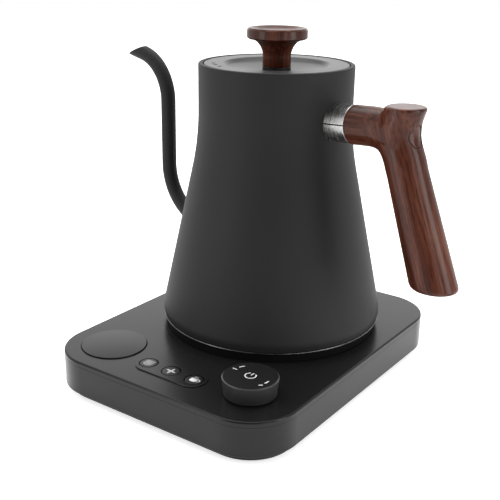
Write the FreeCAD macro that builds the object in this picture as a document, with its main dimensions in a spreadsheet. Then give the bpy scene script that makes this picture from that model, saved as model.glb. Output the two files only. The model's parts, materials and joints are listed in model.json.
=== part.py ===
import FreeCAD, Part
import os
import re
import Sketcher
from FreeCAD import Placement, Rotation, Vector

# A gooseneck kettle on its powered base, in millimetres and degrees.
# The origin lies on the kettle's axis at table level: +X is to the right as seen from the base's
# front, +Y to the back and +Z up. The kettle stands turned on its base by kettle_turn, with its
# handle towards +X and its spout towards -X, so its pieces are drawn straight and then turned.

# Driving sizes: name, value, what it measures.
SIZES = [
    # Base housing, plate and cover
    ("base_half_width", 71.8, "kettle axis to the base's left and right sides"),
    ("base_front", 110.1, "kettle axis to the base's front"),
    ("base_back", 72.1, "kettle axis to the base's back"),
    ("base_corner", 26.6, "corner radius seen from above"),
    ("base_height", 23, "table to the top plate's upper face"),
    ("plate_thickness", 2.8, "top plate"),
    ("plate_edge", 1, "rounding of the plate's upper edge"),
    ("reveal_height", 0.12, "fine groove under the plate"),
    ("reveal_depth", 0.4, "how far that groove is set in"),
    ("housing_wall", 2.6, "side wall"),
    ("housing_lift", 4.2, "table to the housing's lower face"),
    ("housing_edge", 0.4, "rounding of the housing's lower edge"),
    ("housing_floor", 2.4, "thickness of the bottom flange"),
    ("housing_flange", 15, "outer side to the flange's opening"),
    ("cover_inset", 3.3, "outer side to the bottom cover's edge"),
    ("cover_thickness", 3.6, "bottom cover"),
    ("cover_edge", 1, "rounding of the cover's lower edge"),
    ("foot_radius", 7, "rubber foot"),
    ("post_radius", 4, "posts that take the cover screws"),
    ("post_inset", 9.2, "outer side to those posts"),
    ("post_front", 56, "kettle axis to the front pair of posts"),
    ("post_rear", 50, "kettle axis to the rear pair of posts"),
    ("screw_radius", 1.5, "cover and cap screws"),
    ("screw_head", 2.7, "their heads' radius"),
    ("screw_head_height", 0.5, "their heads' height"),
    ("screw_reach", 9, "how far a cover screw goes into its post"),
    ("small_screw", 1.2, "board and coupler screws"),
    ("small_head", 2.3, "their heads' radius"),
    ("small_head_height", 1.4, "their heads' height"),
    ("small_reach", 5.5, "how far a board screw goes into its post"),
    # Clearances
    ("fit_gap", 0.05, "between pieces that are fixed together"),
    ("running_gap", 0.05, "radial gap of a shaft or ring that turns"),
    ("moving_gap", 0.3, "least gap beside a piece that moves"),
    # Lens, buttons and dial
    ("lens_radius", 17.75, "round lens"),
    ("lens_rise", 0.6, "plate to the lens's face"),
    ("lens_edge", 0.5, "rounding of the lens's edge"),
    ("lens_gap", 0.1, "groove round the lens"),
    ("lens_flange", 1.8, "width of the lens's hidden flange"),
    ("lens_flange_height", 1.2, "thickness of that flange"),
    ("button_row_inset", 20.75, "base front to the row of buttons"),
    ("button_pitch", 15, "from button to button"),
    ("button_radius", 4.9, "button cap"),
    ("button_gap", 0.25, "groove round a button"),
    ("button_travel", 0.5, "how far a button goes down"),
    ("button_flange", 1, "width of the flange that keeps a button in"),
    ("button_flange_height", 0.7, "thickness of that flange"),
    ("button_stem", 1.8, "stem over the switch"),
    ("strip_half_length", 21.75, "raised strip round the buttons"),
    ("strip_radius", 7.85, "half of the strip's width"),
    ("strip_rise", 0.6, "plate to the strip's face"),
    ("strip_edge", 0.4, "rounding of the strip's edge"),
    ("switch_side", 6, "push switch seen from above"),
    ("switch_case_height", 3.1, "push switch's case"),
    ("switch_height", 3.5, "board to the switch's press"),
    ("button_edge", 0.2, "bevel round a button"),
    ("dial_radius", 13, "dial at its foot"),
    ("dial_top_radius", 14, "dial at its top edge"),
    ("dial_height", 10, "plate to the dial's top"),
    ("dial_travel", 0.6, "how far the dial pushes down"),
    ("dial_edge", 0.5, "bevel round the dial's top"),
    ("dial_wall", 2, "dial's side wall"),
    ("dial_cap", 2.5, "dial's top wall"),
    ("dial_boss", 5, "dial's inner hub"),
    ("shaft_radius", 3, "encoder shaft"),
    ("bush_radius", 3.5, "encoder bush"),
    ("nut_radius", 5.6, "encoder nut, across corners"),
    ("nut_height", 2, "encoder nut"),
    ("encoder_side", 12, "encoder body seen from above"),
    ("encoder_floor", 0.5, "encoder body's lower wall"),
    ("plunger_height", 1.2, "sprung piece under the shaft"),
    # Boards and what is on them
    ("board_drop", 8.6, "plate's lower face to the control board"),
    ("board_thickness", 1.6, "both boards"),
    ("board_half_length", 58, "control board"),
    ("board_front_inset", 9.5, "base front to the control board"),
    ("board_depth", 34, "control board, front to back"),
    ("board_post_radius", 3, "posts that hold the boards"),
    ("board_post_side", 23, "control board's posts from the middle"),
    ("board_post_inset", 3.5, "control board's edge to its posts"),
    ("display_length", 22, "display module"),
    ("display_depth", 14, "display module"),
    ("display_height", 5.5, "display module"),
    ("power_rise", 4, "cover to the power board"),
    ("power_start", 25, "kettle axis to the power board"),
    ("power_depth", 36, "power board, front to back"),
    ("power_half_length", 42, "power board"),
    ("power_post_side", 36, "power board's posts from the middle"),
    ("power_post_inset", 5, "power board's front edge to its posts"),
    ("power_post_pitch", 20, "front posts to rear posts"),
    ("power_screw_reach", 3.2, "how far a power board screw goes into its post"),
    ("relay_length", 19, "relay"),
    ("relay_depth", 15.5, "relay"),
    ("relay_height", 9, "relay"),
    ("relay_side", -20, "relay's centre from the middle"),
    ("transformer_length", 24, "transformer"),
    ("transformer_depth", 20, "transformer"),
    ("transformer_height", 10, "transformer"),
    ("transformer_side", 8, "transformer's centre from the middle"),
    ("core_lift", 2, "power board to the transformer's core"),
    ("core_height", 6, "transformer's core"),
    ("winding_length", 14.4, "transformer's winding"),
    ("winding_depth", 18, "transformer's winding"),
    ("buzzer_radius", 6, "buzzer"),
    ("buzzer_height", 6, "buzzer"),
    ("buzzer_side", 30, "buzzer's centre from the middle"),
    ("buzzer_hole", 1.2, "buzzer's sound hole"),
    ("buzzer_hole_depth", 3, "buzzer's sound hole"),
    # Cord gland
    ("gland_height", 12.6, "table to the cord's axis"),
    ("gland_radius", 5, "gland in the rear wall"),
    ("gland_bore", 3.4, "the gland's hole, for the cord"),
    ("gland_flange", 1.6, "width of the gland's outer flange"),
    ("gland_flange_height", 2, "thickness of that flange"),
    ("gland_catch", 0.8, "width of the gland's inner catch"),
    ("gland_length", 6, "gland inside the wall"),
    # Coupler between base and kettle
    ("coupler_radius", 14.5, "coupler's boss on the base"),
    ("coupler_height", 8.5, "plate to the boss's top"),
    ("socket_flange", 22, "socket's flange under the plate"),
    ("socket_flange_height", 3, "thickness of that flange"),
    ("socket_depth", 12, "socket below the plate's lower face"),
    ("socket_screw_circle", 18.3, "coupler axis to the socket's screws"),
    ("socket_screw_turn", 30, "direction of the first socket screw"),
    ("socket_screw_reach", 1.8, "how far a socket screw goes into the plate"),
    ("blade_pin", 2, "middle pin's radius"),
    ("blade_small", 6.25, "inner blade ring, middle of its wall"),
    ("blade_large", 10.25, "outer blade ring, middle of its wall"),
    ("blade_wall", 0.8, "wall of the blade rings"),
    ("blade_gap", 0.45, "gap on each side of a blade"),
    ("groove_depth", 11.5, "grooves in the boss"),
    ("contact_radius", 0.75, "spring pins in the grooves"),
    ("contact_tail", 2, "pins below the socket"),
    ("ring_radius", 27, "swivel ring"),
    ("ring_height", 2, "swivel ring"),
    ("ring_notch", 2, "radius of the notches in its edge"),
    # Kettle body
    ("kettle_turn", -8, "turn of the kettle on its base"),
    ("rest_gap", 0.3, "between the kettle and what it stands over"),
    ("skirt_height", 6, "plate to the steel body's lower edge"),
    ("body_radius", 62, "steel body at its lower edge"),
    ("neck_radius", 41.5, "neck"),
    ("shoulder_height", 105, "plate to where cone and neck would meet"),
    ("shoulder_blend", 150, "curve between cone and neck"),
    ("kettle_height", 145.8, "plate to the rim"),
    ("kettle_wall", 0.8, "steel sheet"),
    ("lip_width", 2.4, "rolled rim"),
    ("lip_height", 2, "rolled rim"),
    ("rim_round", 0.8, "rounding of the rim's outer edge"),
    # Kettle bottom and heater
    ("cap_inset", 1.4, "steel body to the bottom cap's side"),
    ("cap_wall", 2, "bottom cap"),
    ("cap_spigot", 4.5, "cap's height inside the steel body"),
    ("heater_space", 7.5, "steel body's lower edge to the spreader"),
    ("spreader_inset", 24, "steel body's lower edge to the heat spreader"),
    ("spreader_thickness", 3.5, "aluminium heat spreader"),
    ("floor_thickness", 1, "vessel floor"),
    ("element_inset", 4.5, "spreader's edge to the middle of the element"),
    ("element_width", 7, "heating element"),
    ("element_height", 6, "heating element"),
    ("element_sweep", 300, "how far round the element goes"),
    ("element_round", 2, "rounding of the element's lower edges"),
    ("plug_gap", 0.9, "boss to the plug's skirt"),
    ("plug_wall", 2, "plug's skirt"),
    ("plug_headroom", 0.5, "boss's top to the plug's ceiling"),
    ("plug_flange", 24, "plug's flange under the spreader"),
    ("plug_screw_circle", 21, "coupler axis to the plug's screws"),
    ("plug_flange_height", 3, "thickness of that flange"),
    ("plug_screw_turn", 90, "direction of the first plug screw"),
    ("plug_screw_reach", 2.4, "how far a plug screw goes into the spreader"),
    ("probe_inset", 16, "steel body's lower edge to the temperature probe"),
    ("probe_radius", 2.5, "temperature probe"),
    ("probe_rise", 10, "probe above the floor"),
    ("probe_drop", 6, "probe below the floor"),
    ("probe_flange", 2, "width of the probe's flange"),
    ("probe_flange_height", 1.5, "thickness of that flange"),
    ("seal_wall", 0.9, "probe seal in the floor's hole"),
    ("seal_lip", 1.6, "width of the seal's lips"),
    ("seal_lip_height", 1.1, "height of the seal's lips"),
    ("seal_taper", 0.8, "taper of the seal's upper lip"),
    ("stud_inset", 10, "steel body's lower edge to the studs for the cap"),
    ("stud_turn", 60, "direction of the first stud"),
    ("stud_radius", 3, "studs"),
    ("stud_length", 9, "studs"),
    ("cap_post_radius", 5, "cap's posts under the studs"),
    ("cap_screw_reach", 6, "how far a cap screw goes into its stud"),
    ("cap_screw_sink", 2.2, "how far a cap screw's head is sunk"),
    # Spout
    ("spout_radius", 4.42, "spout tube"),
    ("spout_wall", 0.8, "spout tube"),
    ("spout_entry", 44.3, "plate to the spout's axis at the body"),
    ("spout_out", 25.6, "steel body's lower edge to the upright run"),
    ("spout_low_bend", 31.5, "lower bend"),
    ("spout_column", 38.6, "upright run"),
    ("spout_high_bend", 27, "upper bend"),
    ("spout_high_turn", 77.9, "how far the upper bend turns"),
    ("spout_tip", 12.5, "straight run at the tip, cut slanting"),
    # Handle
    ("arm_height", 120, "plate to the handle's arm at the neck"),
    ("arm_rise", 3.5, "slope of the arm"),
    ("arm_radius", 10.05, "wooden arm"),
    ("ferrule_radius", 9.8, "steel sleeve between neck and wood"),
    ("ferrule_length", 11.9, "neck to the wood"),
    ("ferrule_wall", 1.5, "steel sleeve"),
    ("anchor_radius", 6, "threaded boss in the sleeve"),
    ("anchor_length", 9.5, "threaded boss"),
    ("bolt_rise", 0.4, "slope of the handle bolt"),
    ("bolt_radius", 3, "handle bolt"),
    ("bolt_start", 3, "neck to the bolt's end"),
    ("bolt_head", 4.7, "bolt head's radius"),
    ("bolt_head_height", 4.5, "bolt head"),
    ("bolt_key", 2.3, "round socket in the bolt's head"),
    ("bolt_key_depth", 2.2, "that socket's depth"),
    ("plug_radius", 5.4, "wooden plug over the bolt"),
    ("plug_length", 5, "wooden plug over the bolt"),
    ("bolt_seat", 37, "neck to the bolt head's seat"),
    ("grip_out", 37.65, "neck to the grip's axis, along the arm"),
    ("grip_lean", 20.4, "slope of the grip"),
    ("grip_length", 79.3, "arm's axis to the grip's level foot"),
    ("grip_foot_radius", 11.5, "grip at its foot"),
    ("grip_top_radius", 9.25, "grip at the arm"),
    ("grip_foot_round", 2, "rounding of the grip's foot"),
    ("head_back", 5.05, "grip's axis to the head's middle"),
    ("head_height", 11, "arm's axis to the head's flat top"),
    ("head_radius", 9.3, "head"),
    ("head_round", 1.2, "rounding of the head's top edge"),
    ("elbow_radius", 9, "round bend that fills the corner under the arm"),
    ("elbow_bend", 23, "radius of that bend along its middle"),
    ("elbow_tail", 6, "straight ends of that bend, inside arm and grip"),
    # Lid
    ("seat_width", 4.2, "neck's inside to the lid seat's opening"),
    ("seat_depth", 7, "lid seat"),
    ("seat_sheet", 0.8, "lid seat"),
    ("lid_gap", 0.3, "groove round the lid"),
    ("lid_drop", 0.2, "rim to the lid's top"),
    ("lid_sheet", 1, "lid cap"),
    ("lid_recess", 3.6, "lid's top to its sunk middle"),
    ("lid_rim", 8.8, "lid's edge to where it starts to slope down"),
    ("lid_slope", 5, "width of that slope"),
    ("vent_radius", 1, "steam vents"),
    ("vent_inset", 5.3, "lid's edge to the vents"),
    ("vent_first", 232, "direction of the middle vent"),
    ("vent_step", 11, "from vent to vent"),
    ("liner_sheet", 0.8, "plate and skirt under the lid"),
    ("liner_depth", 12, "skirt under the lid"),
    ("seal_start", 1.5, "top of the liner to the lid seal"),
    ("seal_width", 1.7, "lid seal, from the liner to its fins"),
    ("seal_height", 5, "lid seal"),
    ("seal_fin", 1, "edge of the lid seal's fins"),
    ("knob_washer_radius", 7.6, "washer under the knob"),
    ("knob_washer_height", 2, "washer under the knob"),
    ("knob_radius", 16, "wooden knob"),
    ("knob_height", 20.4, "wooden knob"),
    ("knob_stem", 7.5, "knob's stem"),
    ("knob_stem_height", 5.8, "straight part of the stem"),
    ("knob_flare", 8.2, "curve from stem to disc"),
    ("knob_edge", 5.2, "height of the disc's edge"),
    ("knob_dish", 0.9, "hollow of the knob's top"),
    ("knob_bevel", 1.1, "rounding of the disc's edge"),
    ("insert_radius", 3.6, "threaded insert in the knob"),
    ("insert_length", 11, "threaded insert in the knob"),
    ("lid_screw_radius", 2, "screw from the liner into the knob"),
    ("lid_screw_head", 4.5, "that screw's head"),
    ("lid_screw_head_height", 2.4, "that screw's head"),
    ("lid_screw_reach", 8, "how far that screw goes into the insert"),
]

# Places that follow from the driving sizes.
PLACES = {
    "plate_bottom": "base_height - plate_thickness",
    "reveal_bottom": "plate_bottom - reveal_height",
    "foot_height": "housing_lift - cover_thickness",
    "flange_top": "housing_lift + housing_floor",
    "post_side": "base_half_width - post_inset",
    "control_side": "base_half_width - base_corner",
    "control_front": "base_front - base_corner",
    "control_back": "base_back - base_corner",
    "button_row": "base_front - button_row_inset",
    "board_top": "plate_bottom - board_drop",
    "board_bottom": "board_top - board_thickness",
    "board_front": "base_front - board_front_inset",
    "board_back": "board_front - board_depth",
    "board_row_front": "board_front - board_post_inset",
    "board_row_back": "board_back + board_post_inset",
    "power_bottom": "housing_lift + power_rise",
    "power_top": "power_bottom + board_thickness",
    "power_row": "power_start + power_post_inset",
    "power_middle": "power_start + power_depth / 2",
    "lens_top": "base_height + lens_rise",
    "strip_top": "base_height + strip_rise",
    "button_flange_top": "plate_bottom - moving_gap",
    "button_flange_bottom": "button_flange_top - button_flange_height",
    "switch_top": "board_top + switch_height",
    "button_stem_bottom": "switch_top + button_travel + moving_gap",
    "dial_bottom": "base_height + dial_travel + moving_gap",
    "dial_top": "base_height + dial_height",
    "nut_top": "base_height + nut_height",
    "dial_hub": "nut_top + dial_travel + moving_gap",
    "shaft_top": "dial_top - dial_cap + fit_gap",
    "encoder_cavity": "board_top + encoder_floor",
    "plunger_bottom": "encoder_cavity + dial_travel + moving_gap",
    "plunger_top": "plunger_bottom + plunger_height",
    "boss_top": "base_height + coupler_height",
    "groove_bottom": "boss_top - groove_depth",
    "contact_top": "groove_bottom + moving_gap",
    "blade_bottom": "contact_top + moving_gap",
    "socket_bottom": "plate_bottom - socket_depth",
    "ring_top": "base_height + ring_height",
    "cap_bottom": "base_height + rest_gap",
    "cap_floor": "ring_top + rest_gap",
    "cap_floor_top": "cap_floor + cap_wall",
    "kettle_foot": "base_height + skirt_height",
    "cap_radius": "body_radius - cap_inset",
    "cap_top": "kettle_foot + cap_spigot",
    "spreader_bottom": "kettle_foot + heater_space",
    "floor_bottom": "spreader_bottom + spreader_thickness",
    "floor_top": "floor_bottom + floor_thickness",
    "plug_ceiling": "boss_top + plug_headroom",
    "plug_skirt": "coupler_radius + plug_gap",
    "plug_flange_bottom": "spreader_bottom - plug_flange_height",
    "stud_bottom": "floor_bottom - stud_length",
    "stud_circle": "body_radius - stud_inset",
    "probe_out": "body_radius - probe_inset",
    "spreader_radius": "body_radius - spreader_inset",
    "element_radius": "spreader_radius - element_inset",
    "shoulder_level": "base_height + shoulder_height",
    "cone_slope": "(body_radius - neck_radius) / (shoulder_level - kettle_foot)",
    "rim_top": "base_height + kettle_height",
    "neck_inner": "neck_radius - kettle_wall",
    "lip_inner": "neck_radius - lip_width",
    "seat_top": "rim_top - lip_height",
    "seat_inner": "neck_inner - seat_width",
    "lid_radius": "lip_inner - lid_gap",
    "lid_shoulder": "lid_radius - lid_rim",
    "lid_middle": "lid_shoulder - lid_slope",
    "vent_circle": "lid_radius - vent_inset",
    "lid_top": "rim_top - lid_drop",
    "lid_floor": "lid_top - lid_recess",
    "liner_top": "lid_floor - lid_sheet",
    "liner_bottom": "liner_top - liner_sheet",
    "seal_top": "liner_bottom - seal_start",
    "lid_seal_radius": "seat_inner - moving_gap",
    "liner_radius": "lid_seal_radius - seal_width",
    "knob_bottom": "lid_floor + knob_washer_height",
    "knob_top": "knob_bottom + knob_height",
    "knob_edge_bottom": "knob_top - knob_edge",
    "knob_flare_end": "knob_bottom + knob_stem_height + knob_flare",
    "insert_top": "knob_bottom + insert_length",
    "spout_level": "base_height + spout_entry",
    "spout_reach": "body_radius + spout_out",
    "spout_low_start": "spout_reach - spout_low_bend",
    "spout_low_top": "spout_level + spout_low_bend",
    "spout_high_start": "spout_low_top + spout_column",
    "spout_high_centre": "spout_reach + spout_high_bend",
    "spout_high_x": "spout_high_centre - spout_high_bend * cos(spout_high_turn)",
    "spout_high_z": "spout_high_start + spout_high_bend * sin(spout_high_turn)",
    "spout_end_x": "spout_high_x + spout_tip * sin(spout_high_turn)",
    "spout_end_z": "spout_high_z + spout_tip * cos(spout_high_turn)",
    "arm_level": "base_height + arm_height",
    "grip_x": "neck_radius + grip_out * cos(arm_rise)",
    "grip_z": "arm_level + grip_out * sin(arm_rise)",
    "grip_foot_x": "grip_x + grip_length * sin(grip_lean)",
    "grip_foot_z": "grip_z - grip_length * cos(grip_lean)",
    "grip_spare": "2 * grip_foot_radius * tan(grip_lean)",
    "grip_end_radius": "grip_foot_radius + (grip_foot_radius - grip_top_radius) * grip_spare / grip_length",
    "head_z": "grip_z + head_height",
    "elbow_reach": "elbow_bend * tan((90 + arm_rise - grip_lean) / 2)",
    "elbow_end": "elbow_reach + elbow_tail",
    "elbow_start_x": "grip_x - elbow_end * cos(arm_rise)",
    "elbow_start_z": "grip_z - elbow_end * sin(arm_rise)",
    "elbow_in_x": "grip_x - elbow_reach * cos(arm_rise)",
    "elbow_in_z": "grip_z - elbow_reach * sin(arm_rise)",
    "elbow_out_x": "grip_x + elbow_reach * sin(grip_lean)",
    "elbow_out_z": "grip_z - elbow_reach * cos(grip_lean)",
    "elbow_end_x": "grip_x + elbow_end * sin(grip_lean)",
    "elbow_end_z": "grip_z - elbow_end * cos(grip_lean)",
    "plug_start": "bolt_seat + bolt_head_height + fit_gap",
}
SIZE_NAMES = [name for name, value, meaning in SIZES]

# Two lengths closer than this count as one when an edge is looked up.
SAME = 1e-3

doc = FreeCAD.newDocument("gooseneck_kettle")
sheet = doc.addObject("Spreadsheet::Sheet", "Sizes")
for row, (name, value, meaning) in enumerate(SIZES, start=1):
    sheet.set("A%d" % row, meaning)
    sheet.set("B%d" % row, str(value))
    sheet.setAlias("B%d" % row, name)
doc.recompute()

pieces = []


def bound(text):
    """A formula with each named place written out and each driving size read from the sheet."""

    def written_out(match):
        word = match.group(0)
        if word in PLACES:
            return "(" + bound(PLACES[word]) + ")"
        if word in SIZE_NAMES:
            return "Sizes." + word
        return word

    return re.sub(r"[a-z][a-z_]*", written_out, str(text))


def value_of(text):
    """The number that a formula gives."""
    return float(sheet.evalExpression(bound(text)))


def bind(item, **formulas):
    """Binds properties of an object to formulas; two underscores stand for a point in a name."""
    for name, formula in formulas.items():
        item.setExpression(name.replace("__", "."), bound(formula))


def keep(item, label, turned=False):
    """Names a finished piece and, for the kettle's pieces, turns it about the kettle's axis."""
    item.Label = label
    if turned:
        bind(item, Placement__Rotation__Angle="kettle_turn")
    pieces.append(item)
    return item


def set_at(item, x="0", y="0", z="0"):
    """Places an object by formulas."""
    bind(item, Placement__Base__x=x, Placement__Base__y=y, Placement__Base__z=z)
    return item


def body(name):
    """A new body for one piece."""
    return doc.addObject("PartDesign::Body", name)


def sketch_on(owner, role, offset="0"):
    """A sketch on one of the body's own origin planes, moved along the plane's normal."""
    sketch = owner.newObject("Sketcher::SketchObject", owner.Name + "_sketch")
    plane = [feature for feature in owner.Origin.OriginFeatures if feature.Role == role][0]
    sketch.AttachmentSupport = (plane, [""])
    sketch.MapMode = "FlatFace"
    sketch.setExpression("AttachmentOffset.Base.z", bound(offset))
    return sketch


def pin_point(sketch, part, position, x, y):
    """Fixes one point of a sketch's geometry at a place given by two formulas."""
    for kind, formula in (("DistanceX", x), ("DistanceY", y)):
        index = sketch.addConstraint(Sketcher.Constraint(kind, -1, 1, part, position, value_of(formula)))
        sketch.setExpression("Constraints[%d]" % index, bound(formula))


def set_radius(sketch, part, radius):
    """Fixes the radius of a circle or arc by a formula."""
    index = sketch.addConstraint(Sketcher.Constraint("Radius", part, value_of(radius)))
    sketch.setExpression("Constraints[%d]" % index, bound(radius))


def arc_between(start, end, radius, side):
    """The arc from start to end whose centre lies to the left or right of the way there."""
    chord = end - start
    middle = (start + end) * 0.5
    rise = max(radius**2 - chord.Length**2 / 4, 0) ** 0.5
    across = Vector(-chord.y, chord.x, 0).normalize()
    sign = 1 if side == "left" else -1
    centre = middle + across * (rise * sign)
    first, last = (start, end) if side == "left" else (end, start)
    angles = [Vector(point - centre) for point in (first, last)]
    begin, finish = [Vector(1, 0, 0).getAngle(v) * (1 if v.y >= 0 else -1) for v in angles]
    return Part.ArcOfCircle(Part.Circle(centre, Vector(0, 0, 1), radius), begin, finish)


def outline(sketch, corners, closed=True):
    """A run of lines and arcs through corners, each (x, y) or (x, y, radius, side of the centre)."""
    points = [Vector(value_of(corner[0]), value_of(corner[1]), 0) for corner in corners]
    count = len(corners) if closed else len(corners) - 1
    ends = []
    for index in range(count):
        start = points[index]
        end = points[(index + 1) % len(points)]
        corner = corners[index]
        if len(corner) == 2:
            sketch.addGeometry(Part.LineSegment(start, end), False)
            ends.append((1, 2))
        else:
            sketch.addGeometry(arc_between(start, end, value_of(corner[2]), corner[3]), False)
            ends.append((1, 2) if corner[3] == "left" else (2, 1))
    for index in range(count if closed else count - 1):
        after = (index + 1) % count
        joint = Sketcher.Constraint("Coincident", index, ends[index][1], after, ends[after][0])
        sketch.addConstraint(joint)
    for index in range(count):
        pin_point(sketch, index, ends[index][0], corners[index][0], corners[index][1])
        if len(corners[index]) > 2:
            set_radius(sketch, index, corners[index][2])
    if not closed:
        pin_point(sketch, count - 1, ends[-1][1], corners[-1][0], corners[-1][1])
    return sketch


def circles(sketch, places):
    """Circles, each (x, y, radius)."""
    for index, (x, y, radius) in enumerate(places):
        centre = Vector(value_of(x), value_of(y), 0)
        sketch.addGeometry(Part.Circle(centre, Vector(0, 0, 1), value_of(radius)), False)
        pin_point(sketch, index, 3, x, y)
        set_radius(sketch, index, radius)
    return sketch


def rounded_outline(sketch, left, right, low, high, radius):
    """A rectangle with round corners, given by its four sides and its corner radius."""
    corners = [
        (left + " + " + radius, low),
        (right + " - " + radius, low, radius, "left"),
        (right, low + " + " + radius),
        (right, high + " - " + radius, radius, "left"),
        (right + " - " + radius, high),
        (left + " + " + radius, high, radius, "left"),
        (left, high + " - " + radius),
        (left, low + " + " + radius, radius, "left"),
    ]
    return outline(sketch, corners)


def base_outline(owner, level, inset):
    """The base's outline seen from above, set in from its outer side."""
    side = "(base_half_width - %s)" % inset
    front = "(base_front - %s)" % inset
    back = "(base_back - %s)" % inset
    sketch = sketch_on(owner, "XY_Plane", level)
    return rounded_outline(sketch, "-" + side, side, "-" + front, back, "(base_corner - %s)" % inset)


def pad(owner, sketch, length):
    """Adds the sketch's area, drawn out along its plane's normal."""
    feature = owner.newObject("PartDesign::Pad", owner.Name + "_pad")
    feature.Profile = sketch
    bind(feature, Length=length)
    doc.recompute()
    return feature


def pocket(owner, sketch, depth=None, forward=False, both_ways=False):
    """Cuts the sketch's area away against its plane's normal, through all if no depth is given."""
    before = owner.Shape.Volume
    feature = owner.newObject("PartDesign::Pocket", owner.Name + "_pocket")
    feature.Profile = sketch
    feature.Reversed = forward
    if both_ways:
        feature.SideType = "Symmetric"
    if depth is None:
        feature.Type = "ThroughAll"
    else:
        bind(feature, Length=depth)
    doc.recompute()
    if owner.Shape.Volume >= before:
        raise RuntimeError("a pocket in %s cuts nothing" % owner.Name)
    return feature


def revolve(owner, sketch, sweep="360"):
    """Turns the sketch's area about the plane's upright axis."""
    feature = owner.newObject("PartDesign::Revolution", owner.Name + "_revolution")
    feature.Profile = sketch
    feature.ReferenceAxis = (sketch, ["V_Axis"])
    bind(feature, Angle=sweep)
    doc.recompute()
    return feature


def turned_body(name, corners, sweep="360"):
    """A body turned from one outline of (radius, height) corners."""
    owner = body(name)
    revolve(owner, outline(sketch_on(owner, "XZ_Plane"), corners), sweep)
    return owner


def edges_where(shape, wanted):
    """The names of a shape's edges that pass a test."""
    return ["Edge%d" % (index + 1) for index, edge in enumerate(shape.Edges) if wanted(edge)]


def flat_at(level):
    """A test for edges that lie at one height."""
    height = value_of(level)
    return lambda edge: abs(edge.BoundBox.ZMin - height) + abs(edge.BoundBox.ZMax - height) < SAME


def ring_at(level, radius):
    """A test for round edges of one radius at one height."""
    size = value_of(radius)
    level_test = flat_at(level)

    def passes(edge):
        round_edge = hasattr(edge.Curve, "Radius") and abs(edge.Curve.Radius - size) < SAME
        return round_edge and level_test(edge)

    return passes


def fillet(owner, wanted, radius):
    """Rounds the edges of a body that pass a test."""
    base = owner.Tip
    names = edges_where(base.Shape, wanted)
    feature = owner.newObject("PartDesign::Fillet", owner.Name + "_fillet")
    feature.Base = (base, names)
    bind(feature, Radius=radius)
    doc.recompute()
    return feature


def cylinder(name, radius, height, x="0", y="0", z="0"):
    """An upright cylinder standing at a place."""
    item = doc.addObject("Part::Cylinder", name)
    bind(item, Radius=radius, Height=height)
    return set_at(item, x, y, z)


def block(name, length, depth, height, x, y, z):
    """A block standing at a place, centred on it."""
    item = doc.addObject("Part::Box", name)
    bind(item, Length=length, Width=depth, Height=height)
    return set_at(item, "%s - (%s) / 2" % (x, length), "%s - (%s) / 2" % (y, depth), z)


def fused(name, items):
    """Pieces joined into one solid."""
    item = doc.addObject("Part::MultiFuse", name)
    item.Shapes = items
    item.Refine = True
    return item


def cut(name, base, tools):
    """A piece with others taken away from it."""
    item = doc.addObject("Part::Cut", name)
    item.Base = base
    item.Tool = tools[0] if len(tools) == 1 else fused(name + "_tools", tools)
    return item


def group(name, items):
    """Separate solids that make one node."""
    item = doc.addObject("Part::Compound", name)
    item.Links = items
    return item


def screw(name, radius, head, head_height, reach, x, y, z, head_up=False):
    """A screw whose head seats at height z: its shank goes up, or down when the head is on top."""
    shank_z = "%s - (%s)" % (z, reach) if head_up else z
    head_z = z if head_up else "%s - (%s)" % (z, head_height)
    shank = cylinder(name + "_shank", radius, reach, x, y, shank_z)
    cap = cylinder(name + "_head", head, head_height, x, y, head_z)
    return fused(name, [shank, cap])


def rectangle_places(side, low, high):
    """Four places: left and right at a low and a high y."""
    return [("-" + side, low), (side, low), ("-" + side, high), (side, high)]


def round_places(circle, count, first="0"):
    """Places spread evenly round the axis, as formulas."""
    angles = ["(%s + %g)" % (first, index * 360 / count) for index in range(count)]
    return [("%s * cos%s" % (circle, angle), "%s * sin%s" % (circle, angle)) for angle in angles]


def cone_radius(level):
    """The steel body's outer radius at a height on its cone."""
    return "(body_radius - (%s - kettle_foot) * cone_slope)" % level


def laid_out(item, start, rise):
    """Lays an upright cylinder on a sloping line out of the neck, from a distance along that line."""
    item.Placement = Placement(Vector(), Rotation(Vector(0, 1, 0), 90))
    bind(item, Placement__Rotation__Angle="90 - " + rise)
    return set_at(
        item,
        "neck_radius + (%s) * cos(%s)" % (start, rise),
        "0",
        "arm_level + (%s) * sin(%s)" % (start, rise),
    )


def along_arm(item, start):
    """Lays an upright cylinder along the handle's arm."""
    return laid_out(item, start, "arm_rise")


def along_bolt(item, start):
    """Lays an upright cylinder along the handle's bolt."""
    return laid_out(item, start, "bolt_rise")


COVER_SCREWS = rectangle_places("post_side", "-post_front", "post_rear")
BOARD_SCREWS = rectangle_places("board_post_side", "-board_row_front", "-board_row_back")
POWER_SCREWS = rectangle_places("power_post_side", "power_row", "(power_row + power_post_pitch)")
FEET = rectangle_places("control_side", "-control_front", "control_back")
SOCKET_SCREWS = round_places("socket_screw_circle", 3, "socket_screw_turn")
PLUG_SCREWS = round_places("plug_screw_circle", 3, "plug_screw_turn")
STUDS = round_places("stud_circle", 3, "stud_turn")
BUTTONS = [("button_left", "-button_pitch"), ("button_middle", "0"), ("button_right", "button_pitch")]


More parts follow.
